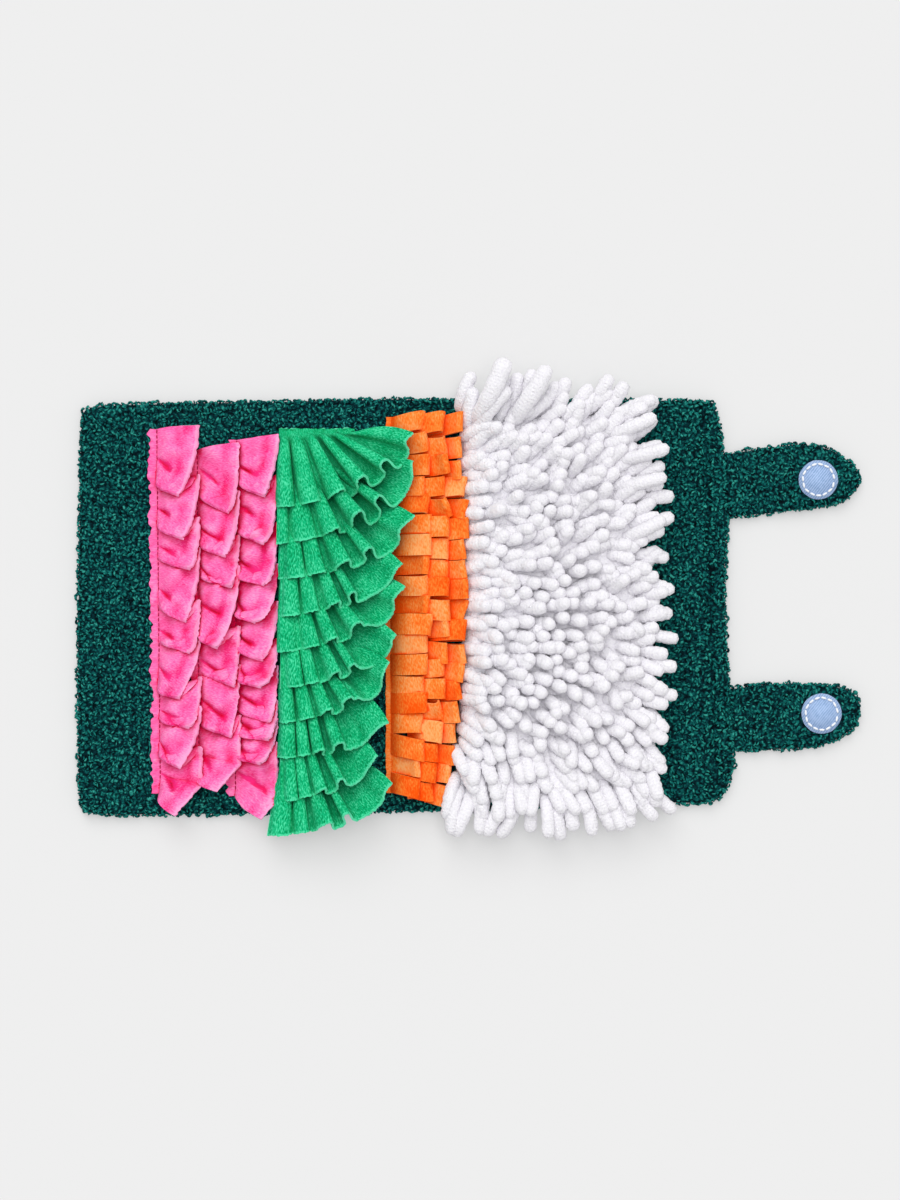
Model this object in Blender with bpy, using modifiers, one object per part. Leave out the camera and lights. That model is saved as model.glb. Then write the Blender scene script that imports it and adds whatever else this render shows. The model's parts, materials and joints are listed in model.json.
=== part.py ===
"""Snuffle mat: a sherpa mat with two fastening straps, on which fleece ruffles, fleece loop tabs and a
chenille pile are sewn. Metres; +X runs from the pink ruffles to the straps, +Z up from the floor."""

import math

import bmesh
import bpy
from mathutils import Vector

MM = 0.001
GAP = 0.3 * MM  # between pieces that are sewn to each other

# Mat and straps
MAT_THICK = 8.0 * MM
STRAP_THICK = 7.0 * MM
RIM_ROUND = 2.6 * MM
RIM_STEPS = 2
MAT_STEPS = 2
STRAP_GAP = 0.4  # mm between a strap and the mat's edge
SEAM_RADIUS = 2.4  # mm, of the groove that the turned edge leaves beside the straps
SEAM_DEPTH = 1.5
SEAM_ROUTE = ((163, 145), (166, 90), (168.4, 20), (169, -45), (172.6, -110), (172, -155))

# Corners of each outline in mm, anticlockwise from the upper left
MAT_OUTLINE = (
    (-269.5, 122), (-271, 60), (-272.4, -30), (-272, -110), (-270.5, -143), (-262, -151),
    (-220, -152), (-130, -150.5), (-50, -149), (30, -148), (120, -143.5), (160, -144),
    (176, -139.5), (184, -122), (184.2, -110), (180.6, -58), (178.4, -10), (178.6, 30),
    (180.2, 52), (176.6, 102), (174.6, 118), (171, 132), (158, 136.5), (60, 135.8),
    (-50, 137), (-120, 135.6), (-235, 133.6), (-262, 131),
)
# Free outline of each strap, from its lower end at the mat round to its upper end
STRAP_STEPS = 2
STRAP_ROOT_STEPS = 4
STRAPS = {
    "strap_upper": ((187, 56.4), (200, 57.6), (223, 60.4), (256, 65), (267, 71.8), (272.4, 81.6),
                    (268.5, 90.8), (259, 98.4), (242, 105.2), (223, 104.8), (197, 101.6), (184, 99.4)),
    "strap_lower": ((191, -106.8), (209, -106.2), (238, -105.2), (255, -100.2), (267, -92.6),
                    (272, -86), (273, -78.8), (270.6, -70.2), (262, -64.8), (245, -62.4),
                    (210, -61.8), (188, -64.6)),
}
PATCHES = {"patch_upper": (244.0, 81.4, 13.7), "patch_lower": (246.2, -81.8, 14.0)}  # x, y, radius
PATCH_THICK = 1.4 * MM
PATCH_SIDES = 28

# Fleece strips
FLEECE = 1.5 * MM
SEWN_Z = MAT_THICK + GAP + FLEECE / 2  # middle of a strip where it is sewn down
ACROSS = (0.0, 0.5, 1.0)  # samples from the stitch line to the free edge
FOLD_LEAD = 0.75  # radians by which a fold rises ahead of its lean, which rounds its lip
LEAN_GROWTH = 2.0  # power by which folds lean over with the distance from the stitch line
FOLD_SAMPLES = 6

# Pink columns: sewn down their left side, each fold leaning over the next like a scale
PINK_WIDTH = 31.5  # mm from the stitch line to the free edge
PINK_HEADER = 5.5  # mm of raw edge beyond the stitch line
PINK_CREST = 17.0  # mm that the free edge lifts at a fold's crest
PINK_TROUGH = 5.2  # mm that it lifts between folds
PINK_TUCK = 4.0  # mm that it draws back up between folds
# stitch line: x and y at the top, x at the bottom; folds: y of the tip, reach of the tip from the stitch
PINK_COLUMNS = {
    "pink_ruffle_1": {
        "stitch": (-217.4, 116.5, -214.9),
        "folds": ((71, 15.8), (41, 18.6), (20, 23.4), (-16.5, 20), (-38.2, 22.6), (-69.7, 15.3),
                  (-90, 21.7), (-118.3, 15.8), (-152.3, 11)),
    },
    "pink_ruffle_2": {
        "stitch": (-189.2, 102, -187.9),
        "folds": ((59.2, 22.3), (28.8, 20), (7.5, 24.5), (-34.7, 14.2), (-61.5, 25.6), (-96.6, 23.5),
                  (-135.5, 13.3)),
    },
    "pink_ruffle_3": {
        "stitch": (-161.8, 109, -162.6),
        "folds": ((70.5, 20.6), (37.5, 19.3), (8.9, 20.6), (-17.2, 14.5), (-43.5, 19), (-62, 17.9),
                  (-86, 24.5), (-98.4, 23.5), (-115.2, 18.6), (-154.8, 18.5)),
    },
}

# Green rows: sewn along their top, hanging towards the lower edge and fanning out to the right
GREEN_LEFT = -129.2
GREEN_LEFT_LIFT = 12.0  # mm that the free edge lifts at the left
GREEN_MIDDLE = (0.62, 25.5)  # share of the row where the lift levels off, and its mm there
GREEN_WAVE = (1.2, 4.3)  # mm, half height of the folds at the left and the right
GREEN_LEAN = 0.9  # sideways lean of a fold for its height
GREEN_WAVE_GROWTH = 1.5  # power by which the folds rise with the distance from the stitch line
GREEN_TURN = 0.62  # share of the fan's turn that is spread evenly
GREEN_FULL_WAVE = 0.625  # share of the row where its folds reach their full height
# stitch y, right end of the stitch line, left corner x and y, right tip x and y, lift of the tip,
# folds, phase of the first fold in turns
GREEN_ROWS = (
    (116.6, -79.5, -129.6, 62.0, -36.0, 111.7, 31, 5.6, 0.40),
    (91.4, -82.3, -129.6, 36.8, -38.9, 93.5, 18, 5.3, 0.20),
    (66.2, -78.8, -129.6, 11.6, -36.8, 55.0, 27, 5.0, 0.45),
    (41.0, -85.0, -129.6, -14.4, -45.9, 22.0, 22, 5.6, 0.30),
    (15.8, -86.5, -129.6, -38.9, -43.8, 6.7, 25, 5.2, 0.10),
    (-9.5, -90.0, -129.6, -64.1, -50.0, -27.0, 24, 5.7, 0.40),
    (-34.7, -95.6, -129.6, -87.9, -53.6, -45.9, 20, 5.4, 0.25),
    (-59.9, -87.9, -129.6, -112.4, -55.0, -88.6, 26, 5.1, 0.45),
    (-85.8, -97.7, -132.4, -143.2, -62.7, -111.0, 19, 5.6, 0.30),
    (-111.0, -92.1, -141.0, -166.3, -52.9, -129.2, 22, 5.9, 0.15),
)

# Orange columns: a folded strip slit into tabs, sewn down its left side, each tab a flattened loop
# stitch x, header beyond it, top y, bottom y, reach of the tabs at the top, middle and bottom
ORANGE_COLUMNS = {
    "orange_loops_1": (-52.0, 5.7, 125.0, -137.0, 24.5, 29.0, 19.5),
    "orange_loops_2": (-39.6, 3.0, 124.0, -141.0, 26.0, 30.0, 18.5),
    "orange_loops_3": (-27.6, 3.0, 123.0, -144.0, 22.5, 28.0, 15.0),
}
TABS = 19
TAB_GAP = 0.9  # mm between tabs
TAB_SLOPE = 0.55  # rise for reach
TAB_HOLLOW = 1.8  # mm, of the space inside a pressed loop
TAB_FOLD = 0.4  # height of the fold's foremost point, as a share of the loop's depth
TAB_LIP = 1.6  # mm before its tip where the lower sheet turns up into the fold
TAB_BACK = 2.2  # mm before its tip where the upper sheet leaves the fold
HEADER_RIGHT = 2.0  # mm of the header inside the stitch line
HEADER_THICK = 3.4
UNEVEN = (1.7, 1.1)  # mm, spread of the tabs' reach and of their edges
UNEVEN_TURNS = (2.3, 1.9, 0.9)  # radians by which the spread changes from piece to piece

# Chenille pile: a lumpy slab with locks round its free rim
# y, left x, right x of the slab
PILE_ROWS = ((134, -5, 120), (112, 2, 126), (60, 4, 129), (0, 4.5, 131), (-60, 3, 130),
             (-118, -3, 133), (-148, -9, 131))
PILE_STEPS = (18, 38)  # cells across and along
PILE_TOP = 25.0  # mm above the floor, middle of the lumps
PILE_LUMP = 3.4
PILE_UNEVEN = 1.5
PILE_SHOULDER = 4.0  # mm by which the lumps next to the rim are lower
PILE_RIM = 15.0
LOCK_RADIUS = 4.3
LOCK_ROOT = 9.0  # mm that a lock starts inside the slab
LOCK_ROOT_Z = 16.5
LOCK_UNEVEN = 5.0  # spread of the locks' directions in degrees and of their lengths in mm
# Stations of a lock: share of its length, mm to add to that, height above its root, radius scale
LOCK_STATIONS = ((0.0, -LOCK_ROOT, 0.0, 1.0), (0.35, 0.0, 0.6, 1.0), (1.0, -3.5, -1.4, 1.0),
                 (1.0, 0.0, -2.0, 0.55))
# x and y of the first root and the last, directions in degrees, lengths beyond the slab, count
LOCK_STRETCHES = (
    ((2, 133), (118, 133), (68, 42), (17, 15), 11),
    ((123, 128), (131, -142), (34, -42), (14, 17), 22),
    ((124, -147), (-4, -147), (-52, -118), (18, 19), 12),
)
LONG_LOCKS = ((0, 128, 66, 44), (25, 129, 53, 43), (-4, 132, 96, 14))  # x, y, direction, length


def catmull_rom(corners, steps):
    """Points of a smooth closed curve through the corners, steps to each stretch."""
    count = len(corners)
    points = []
    for index in range(count):
        before, start, end, after = (Vector(corners[(index + k - 1) % count]) for k in range(4))
        for step in range(steps):
            t = step / steps
            points.append(
                0.5 * (2 * start + (end - before) * t
                       + (2 * before - 5 * start + 4 * end - after) * t ** 2
                       + (3 * start - before - 3 * end + after) * t ** 3)
            )
    return points


def add_object(name, mesh, material, collection):
    piece = bpy.data.objects.new(name, mesh)
    piece.data.materials.append(material)
    collection.objects.link(piece)
    return piece


def mesh_from(bm, name):
    mesh = bpy.data.meshes.new(name)
    bm.to_mesh(mesh)
    bm.free()
    return mesh


def slab_mesh(name, outline, thickness):
    """A flat slab on the floor with this outline in mm and rounded rims."""
    bm = bmesh.new()
    rim = [bm.verts.new((p.x * MM, p.y * MM, 0.0)) for p in outline]
    bottom = bm.faces.new(rim)
    raised = bmesh.ops.extrude_face_region(bm, geom=[bottom])["geom"]
    top = [item for item in raised if isinstance(item, bmesh.types.BMVert)]
    bmesh.ops.translate(bm, verts=top, vec=(0, 0, thickness))
    level = [edge for edge in bm.edges if abs(edge.verts[0].co.z - edge.verts[1].co.z) < GAP]
    bmesh.ops.bevel(bm, geom=level, offset=RIM_ROUND, offset_type="OFFSET", segments=RIM_STEPS,
                    affect="EDGES", profile=0.5, material=-1)
    bmesh.ops.recalc_face_normals(bm, faces=bm.faces)
    return mesh_from(bm, name)


def mat_right_edge(y):
    """x of the mat's right edge at y, in mm."""
    outline = catmull_rom(MAT_OUTLINE, MAT_STEPS)
    for here, after in zip(outline, outline[1:]):
        if here.x > 160 and here.y <= y < after.y:
            return here.x + (after.x - here.x) * (y - here.y) / (after.y - here.y)
    raise ValueError(f"the mat has no right edge at y = {y}")


def strap_outline(free):
    """The strap's free outline, closed along the mat's edge a gap away from it."""
    low, high = free[0][1], free[-1][1]
    root = []
    for step in range(STRAP_ROOT_STEPS + 1):
        y = high + (low - high) * step / STRAP_ROOT_STEPS
        root.append(Vector((mat_right_edge(y) + STRAP_GAP, y)))
    loop = catmull_rom((root[-1], *free, root[0]), STRAP_STEPS)
    return loop[STRAP_STEPS:STRAP_STEPS * len(free) + 1] + root


def fleece_strip(name, lines, material, collection):
    """A sheet through lines of points, from the stitch line to the free edge, with its thickness."""
    bm = bmesh.new()
    grid = [[bm.verts.new(point * MM) for point in line] for line in lines]
    for near, far in zip(grid, grid[1:]):
        for k in range(len(near) - 1):
            bm.faces.new((near[k], near[k + 1], far[k + 1], far[k]))
    piece = add_object(name, mesh_from(bm, name), material, collection)
    thickness = piece.modifiers.new("thickness", "SOLIDIFY")
    thickness.thickness = FLEECE
    thickness.offset = 0
    return piece


def strip_line(root, out, along, width, sideways, lift, wave_lift, wave_growth):
    """Points from the root to the free edge, a strip's width away, moved along the seam and lifted."""
    reach = math.sqrt(width ** 2 - sideways ** 2 - (lift + wave_lift) ** 2)
    line = []
    for share in ACROSS:
        rise = lift * share + wave_lift * share ** wave_growth
        lean = sideways * share ** LEAN_GROWTH
        line.append(root + out * (reach * share) + along * lean + Vector((0, 0, rise)))
    return line


def fold_rise(angle):
    """Height of a fold between -1 and 1, opened at its lip and at its inner turn."""
    return math.cos(angle + FOLD_LEAD * math.cos(angle))


def pink_stations(stitch, folds):
    """Stations down a column: y of the root, sideways drop and lift of the free edge there."""
    crests = []
    for tip, reach in folds:
        drop = math.sqrt(PINK_WIDTH ** 2 - reach ** 2 - PINK_CREST ** 2)
        crests.append((tip + drop, drop))
    stations = []
    start = stitch[1]
    for index, (crest_root, drop) in enumerate(crests):
        last = index == len(crests) - 1
        end = crest_root if last else (crest_root + crests[index + 1][0]) / 2
        for step in range(FOLD_SAMPLES // 2 + 1 if last else FOLD_SAMPLES):
            turn = 2 * step / FOLD_SAMPLES - 1  # -1 trough, 0 crest, 1 next trough
            if turn < 0:
                root = start + (crest_root - start) * (turn + 1)
            else:
                root = crest_root + (end - crest_root) * turn
            wave = (1 + math.cos(math.pi * turn)) / 2
            sideways = -PINK_TUCK + (drop + PINK_TUCK) * wave
            wave_lift = (PINK_CREST - PINK_TROUGH) / 2 * fold_rise(math.pi * turn)
            stations.append((root, sideways, wave_lift))
        start = end
    return stations


def pink_ruffle(name, shape, material, collection):
    top_x, top_y, bottom_x = shape["stitch"]
    stations = pink_stations(shape["stitch"], shape["folds"])
    bottom_y = stations[-1][0]
    out, along = Vector((1, 0, 0)), Vector((0, -1, 0))
    lines = []
    lift = (PINK_CREST + PINK_TROUGH) / 2
    for root_y, sideways, wave_lift in stations:
        share = (top_y - root_y) / (top_y - bottom_y)
        root = Vector((top_x + (bottom_x - top_x) * share, root_y, SEWN_Z / MM))
        line = strip_line(root, out, along, PINK_WIDTH, sideways, lift, wave_lift, 1.0)
        lines.append([root - out * PINK_HEADER] + line)
    return fleece_strip(name, lines, material, collection)


def green_lift(share, tip_lift):
    """Lift of a row's free edge, which rises soon and then runs to its tip."""
    level, middle_lift = GREEN_MIDDLE
    rise = math.sin(math.pi / 2 * min(share / level, 1.0))
    end = max(0.0, (share - level) / (1 - level))
    return GREEN_LEFT_LIFT + (middle_lift - GREEN_LEFT_LIFT) * rise + (tip_lift - middle_lift) * end


def green_lines(row, samples):
    sewn_y, right_end, corner_x, corner_y, tip_x, tip_y, tip_lift, folds, phase = row
    left = Vector((GREEN_LEFT, sewn_y, SEWN_Z / MM))
    right = Vector((right_end, sewn_y, SEWN_Z / MM))
    corner = Vector((corner_x, corner_y, left.z)) - left
    tip = Vector((tip_x, tip_y, left.z)) - right
    start_turn, end_turn = math.atan2(corner.y, corner.x), math.atan2(tip.y, tip.x)
    start_width = math.hypot(corner.length, GREEN_LEFT_LIFT)
    end_width = math.hypot(tip.length, tip_lift)
    count = round(folds * samples)
    lines = []
    for step in range(count + 1):
        share = step / count
        turn = start_turn + (end_turn - start_turn) * (GREEN_TURN * share + (1 - GREEN_TURN) * share ** 2)
        out = Vector((math.cos(turn), math.sin(turn), 0))
        along = Vector((-out.y, out.x, 0))
        width = start_width + (end_width - start_width) * share
        angle = 2 * math.pi * (folds * share + phase)
        height = GREEN_WAVE[0] + (GREEN_WAVE[1] - GREEN_WAVE[0]) * min(1.0, share / GREEN_FULL_WAVE)
        lift = green_lift(share, tip_lift)
        root = left.lerp(right, share)
        sideways = GREEN_LEAN * height * math.cos(angle)
        wave_lift = height * fold_rise(angle)
        lines.append(strip_line(root, out, along, width, sideways, lift, wave_lift, GREEN_WAVE_GROWTH))
    return lines


def boolean(piece, other, operation):
    """Joins or cuts the piece with another object and keeps the result as its mesh."""
    modifier = piece.modifiers.new(operation.lower(), "BOOLEAN")
    modifier.operation = operation
    modifier.object = other
    modifier.use_self = operation == "UNION"
    bpy.context.view_layer.update()
    graph = bpy.context.evaluated_depsgraph_get()
    mesh = bpy.data.meshes.new_from_object(piece.evaluated_get(graph))
    piece.modifiers.clear()
    piece.data = mesh
    bpy.data.objects.remove(other)


def tube_object(name, routes, radius, resolution, collection):
    """Tubes along routes of (point, radius scale), as one mesh with welded caps."""
    curve = bpy.data.curves.new(name, "CURVE")
    curve.dimensions = "3D"
    curve.bevel_depth = radius * MM
    curve.bevel_resolution = resolution
    curve.use_fill_caps = True
    for route in routes:
        spline = curve.splines.new("POLY")
        spline.points.add(len(route) - 1)
        for point, (place, scale) in zip(spline.points, route):
            point.co = (*(place * MM), 1)
            point.radius = scale
    guide = bpy.data.objects.new(name, curve)
    collection.objects.link(guide)
    bpy.context.view_layer.update()
    graph = bpy.context.evaluated_depsgraph_get()
    mesh = bpy.data.meshes.new_from_object(guide.evaluated_get(graph))
    bpy.data.objects.remove(guide)
    bm = bmesh.new()
    bm.from_mesh(mesh)
    bmesh.ops.remove_doubles(bm, verts=bm.verts, dist=0.00001)
    bmesh.ops.recalc_face_normals(bm, faces=bm.faces)
    bm.to_mesh(mesh)
    bm.free()
    tubes = bpy.data.objects.new(name, mesh)
    collection.objects.link(tubes)
    return tubes


def mat_body(material, collection, cutters):
    outline = catmull_rom(MAT_OUTLINE, MAT_STEPS)
    body = add_object("mat_body", slab_mesh("mat_body", outline, MAT_THICK), material, collection)
    depth = MAT_THICK / MM + SEAM_RADIUS - SEAM_DEPTH
    route = [(Vector((x, y, depth)), 1.0) for x, y in SEAM_ROUTE]
    boolean(body, tube_object("seam_cutter", [route], SEAM_RADIUS, 2, cutters), "DIFFERENCE")


def patch(name, place, material, collection):
    x, y, radius = place
    bm = bmesh.new()
    bmesh.ops.create_cone(bm, cap_ends=True, segments=PATCH_SIDES, radius1=radius * MM,
                          radius2=radius * MM, depth=PATCH_THICK)
    piece = add_object(name, mesh_from(bm, name), material, collection)
    piece.location = (x * MM, y * MM, STRAP_THICK + GAP + PATCH_THICK / 2)


def uneven(number, column, size):
    """A fixed spread of sizes from tab to tab and column to column."""
    fast, across, slow = UNEVEN_TURNS
    return size * math.sin(fast * number + across * column) * math.cos(slow * number + column)


def tab_path(reach):
    """Middle line of a pressed loop, from the header out to its fold and back, in reach and height."""
    sheet = FLEECE / MM
    low = sheet / 2
    depth = sheet + TAB_HOLLOW
    middle, lip, back = reach / 2, reach - TAB_LIP, reach - TAB_BACK
    points = (
        (HEADER_RIGHT, low),
        (middle, middle * TAB_SLOPE + low),
        (lip, lip * TAB_SLOPE + low),
        (reach - low, reach * TAB_SLOPE + low + depth * TAB_FOLD),
        (back, back * TAB_SLOPE + low + depth),
        (middle, middle * TAB_SLOPE + low + depth),
        (HEADER_RIGHT, HEADER_THICK - low),
    )
    return [Vector(point) for point in points]


def tab_sides(reach):
    """Outer and inner corners of a loop's sheet, which start and end on the header's right side."""
    path = tab_path(reach)
    outer, inner = [], []
    for before, here, after in zip(path, path[1:], path[2:]):
        into, away = (here - before).normalized(), (after - here).normalized()
        normal = Vector((into.y + away.y, -into.x - away.x)).normalized()
        half = FLEECE / MM / 2 / normal.dot(Vector((away.y, -away.x)))
        outer.append(here + normal * half)
        inner.append(here - normal * half)
    sheet = FLEECE / MM
    outer = [Vector((HEADER_RIGHT, 0)), *outer, Vector((HEADER_RIGHT, HEADER_THICK))]
    inner = [Vector((HEADER_RIGHT, sheet)), *inner, Vector((HEADER_RIGHT, HEADER_THICK - sheet))]
    return outer, inner


def tab_reach(tab, number, reaches):
    top, middle, bottom = reaches
    share = (tab + 0.5) / TABS
    return (top + (bottom - top) * share + (middle - (top + bottom) / 2) * 4 * share * (1 - share)
            + uneven(tab, number, UNEVEN[0]))


def orange_column(name, number, shape, material, collection):
    """One closed body: a header bar down the stitch line whose right side runs on into the tabs."""
    stitch_x, header_left, top_y, bottom_y, *reaches = shape
    origin = Vector((stitch_x, 0, (MAT_THICK + GAP) / MM))
    sheet = FLEECE / MM
    pitch = (top_y - bottom_y) / TABS
    section = ((HEADER_RIGHT, 0), (HEADER_RIGHT, sheet), (HEADER_RIGHT, HEADER_THICK - sheet),
               (HEADER_RIGHT, HEADER_THICK), (-header_left, HEADER_THICK), (-header_left, 0))
    bm = bmesh.new()

    def line(points, y):
        return [bm.verts.new((origin + Vector((x, y, z))) * MM) for x, z in points]

    def span(one, two, pairs):
        for k, j in pairs:
            bm.faces.new((one[k], one[j], two[j], two[k]))

    previous = None
    for tab in range(TABS):
        upper, lower = (
            top_y - (tab + side) * pitch + uneven(tab + side, number, UNEVEN[1]) - TAB_GAP * (0.5 - side)
            for side in (0, 1)
        )
        start, end = line(section, upper), line(section, lower)
        if previous:
            span(previous, start, ((0, 1), (1, 2), (2, 3), (3, 4), (4, 5), (5, 0)))
        else:
            bm.faces.new(start)
        span(start, end, ((1, 2), (3, 4), (4, 5), (5, 0)))
        outer, inner = tab_sides(tab_reach(tab, number, reaches))
        sheets = []
        for root, y in ((start, upper), (end, lower)):
            sheets.append([root[0], *line(outer[1:-1], y), root[3]])
            sheets.append([root[1], *line(inner[1:-1], y), root[2]])
        steps = [(k, k + 1) for k in range(len(outer) - 1)]
        for one, two in ((0, 1), (1, 3), (3, 2), (2, 0)):
            span(sheets[one], sheets[two], steps)
        previous = end
    bm.faces.new(previous)
    bmesh.ops.recalc_face_normals(bm, faces=bm.faces)
    add_object(name, mesh_from(bm, name), material, collection)


def pile_edges(y):
    """Left and right x of the slab at y, between the rows of the table."""
    for (y0, left0, right0), (y1, left1, right1) in zip(PILE_ROWS, PILE_ROWS[1:]):
        if y >= y1:
            share = (y0 - y) / (y0 - y1)
            return left0 + (left1 - left0) * share, right0 + (right1 - right0) * share
    return PILE_ROWS[-1][1:]


def pile_slab_mesh(name):
    across, along = PILE_STEPS
    bottom_z = MAT_THICK + GAP
    top_y, bottom_y = PILE_ROWS[0][0], PILE_ROWS[-1][0]
    bm = bmesh.new()
    bmesh.ops.create_grid(bm, x_segments=across, y_segments=along, size=1)
    for vert in bm.verts:
        column = round((vert.co.x + 1) / 2 * across)
        row = round((1 - vert.co.y) / 2 * along)
        rim = min(column, across - column, row, along - row)
        y = top_y + (bottom_y - top_y) * row / along
        left, right = pile_edges(y)
        raised = row % 2 == 0 and column % 2 == row // 2 % 2
        lump = (PILE_LUMP if raised else -PILE_LUMP) + uneven(row, column, PILE_UNEVEN)
        z = PILE_RIM if rim == 0 else PILE_TOP + lump - (PILE_SHOULDER if rim == 1 else 0.0)
        vert.co = Vector((left + (right - left) * column / across, y, z)) * MM
    rim_edges = [edge for edge in bm.edges if edge.is_boundary]
    skirt = bmesh.ops.extrude_edge_only(bm, edges=rim_edges)["geom"]
    for item in skirt:
        if isinstance(item, bmesh.types.BMVert):
            item.co.z = bottom_z
    bmesh.ops.holes_fill(bm, edges=[edge for edge in bm.edges if edge.is_boundary], sides=0)
    bmesh.ops.recalc_face_normals(bm, faces=bm.faces)
    return mesh_from(bm, name)


def lock_route(x, y, degrees, length):
    """A lock from inside the slab over its rim, drooping towards its tip."""
    out = Vector((math.cos(math.radians(degrees)), math.sin(math.radians(degrees)), 0))
    rim = Vector((x, y, LOCK_ROOT_Z))
    return [(rim + out * (length * share + more) + Vector((0, 0, height)), scale)
            for share, more, height, scale in LOCK_STATIONS]


def chenille_pile(material, collection):
    pile = add_object("chenille_pile", pile_slab_mesh("chenille_pile"), material, collection)
    routes = [lock_route(*lock) for lock in LONG_LOCKS]
    for start, end, directions, lengths, count in LOCK_STRETCHES:
        for number in range(count):
            share = number / (count - 1)
            x, y = (a + (b - a) * share for a, b in zip(start, end))
            degrees = directions[0] + (directions[1] - directions[0]) * share
            length = lengths[0] + (lengths[1] - lengths[0]) * share + uneven(number, 2, LOCK_UNEVEN)
            degrees += uneven(number, 1, LOCK_UNEVEN)
            routes.append(lock_route(x, y, degrees, length))
    boolean(pile, tube_object("locks", routes, LOCK_RADIUS, 0, collection), "UNION")


def centre_on_origin(pieces):
    """Moves the pieces together so that the middle of their box stands over the origin."""
    bpy.context.view_layer.update()
    graph = bpy.context.evaluated_depsgraph_get()
    corners = [piece.matrix_world @ vert.co for piece in pieces
               for vert in piece.evaluated_get(graph).data.vertices]
    for axis in (0, 1):
        places = [corner[axis] for corner in corners]
        middle = (min(places) + max(places)) / 2
        for piece in pieces:
            piece.location[axis] -= middle


def make_material(name, colour, roughness):
    material = bpy.data.materials.new(name)
    material.use_nodes = True
    shader = material.node_tree.nodes["Principled BSDF"]
    shader.inputs["Base Color"].default_value = (*colour, 1.0)
    shader.inputs["Roughness"].default_value = roughness
    shader.inputs["Metallic"].default_value = 0.0
    return material


def main():
    for piece in list(bpy.data.objects):
        bpy.data.objects.remove(piece)
    mat = bpy.data.collections.new("snuffle_mat")
    bpy.context.scene.collection.children.link(mat)
    cutters = bpy.data.collections.new("cutters")
    cutters.hide_render = True
    bpy.context.scene.collection.children.link(cutters)
    teal = make_material("sherpa_teal", (0.004, 0.06, 0.063), 0.95)
    pink = make_material("fleece_pink", (0.97, 0.16, 0.44), 0.9)
    green = make_material("fleece_green", (0.01, 0.41, 0.17), 0.9)
    orange = make_material("fleece_orange", (0.95, 0.17, 0.02), 0.9)
    white = make_material("chenille_white", (0.81, 0.79, 0.85), 0.9)
    blue = make_material("loop_tape_blue", (0.33, 0.46, 0.70), 0.8)
    mat_body(teal, mat, cutters)
    for name, free in STRAPS.items():
        add_object(name, slab_mesh(name, strap_outline(free), STRAP_THICK), teal, mat)
    for name, place in PATCHES.items():
        patch(name, place, blue, mat)
    for name, shape in PINK_COLUMNS.items():
        pink_ruffle(name, shape, pink, mat)
    for number, row in enumerate(GREEN_ROWS, 1):
        name = f"green_ruffle_{number:02d}"
        fleece_strip(name, green_lines(row, FOLD_SAMPLES), green, mat)
    for number, (name, shape) in enumerate(ORANGE_COLUMNS.items()):
        orange_column(name, number, shape, orange, mat)
    chenille_pile(white, mat)
    centre_on_origin(mat.objects)


if __name__ == "__main__":
    main()
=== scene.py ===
"""Snuffle mat, dressed: the finished surfaces of a sherpa mat with fleece ruffles, fleece loops, a chenille
pile and two fastening straps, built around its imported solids.

It is run as a script. Lengths in the tables and in the functions that shape the cloth are in mm."""

import json
import math
import random

import bmesh
import bpy
import numpy as np
from bpy.props import FloatProperty, FloatVectorProperty, IntProperty, PointerProperty
from mathutils import Matrix, Vector, noise
from mathutils.bvhtree import BVHTree

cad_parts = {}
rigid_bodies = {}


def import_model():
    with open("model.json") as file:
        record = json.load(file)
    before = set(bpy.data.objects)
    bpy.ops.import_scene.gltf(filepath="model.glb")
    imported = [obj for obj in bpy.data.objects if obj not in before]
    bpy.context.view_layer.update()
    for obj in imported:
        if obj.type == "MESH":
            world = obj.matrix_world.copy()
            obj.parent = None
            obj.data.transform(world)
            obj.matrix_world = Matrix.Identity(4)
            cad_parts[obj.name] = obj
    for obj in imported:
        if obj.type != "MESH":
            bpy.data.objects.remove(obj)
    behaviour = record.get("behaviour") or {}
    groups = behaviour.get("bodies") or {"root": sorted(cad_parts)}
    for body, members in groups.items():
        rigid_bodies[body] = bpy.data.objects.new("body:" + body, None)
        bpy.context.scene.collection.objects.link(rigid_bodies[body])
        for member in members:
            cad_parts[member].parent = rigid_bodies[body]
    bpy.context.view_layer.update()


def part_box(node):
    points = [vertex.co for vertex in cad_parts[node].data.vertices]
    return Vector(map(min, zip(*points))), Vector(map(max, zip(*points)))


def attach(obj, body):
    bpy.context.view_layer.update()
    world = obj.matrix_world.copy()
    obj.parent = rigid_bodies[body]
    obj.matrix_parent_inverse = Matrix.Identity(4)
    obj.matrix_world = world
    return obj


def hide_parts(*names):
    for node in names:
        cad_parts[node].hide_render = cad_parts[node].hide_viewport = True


bl_info = {
    "name": "Snuffle Mat",
    "version": (1, 0, 0),
    "blender": (4, 5, 0),
    "location": "View3D > Sidebar > Snuffle Mat",
    "description": "Builds a sherpa snuffle mat with fleece ruffles, loops and a chenille pile",
    "category": "Mesh",
}

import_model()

MM = 0.001
BODY = "root"
UP = Vector((0, 0, 1))

# The tables below are in the mat maker's own coordinates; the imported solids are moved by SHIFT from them
PATCHES = {"patch_upper": (244.0, 81.4, 13.7), "patch_lower": (246.2, -81.8, 14.0)}  # x, y, radius
_patch_low, _patch_high = (Vector(corner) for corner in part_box("patch_upper"))
SHIFT = (_patch_low + _patch_high) / 2 / MM - Vector(PATCHES["patch_upper"][:2] + (0,))
SHIFT.z = 0.0

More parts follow.
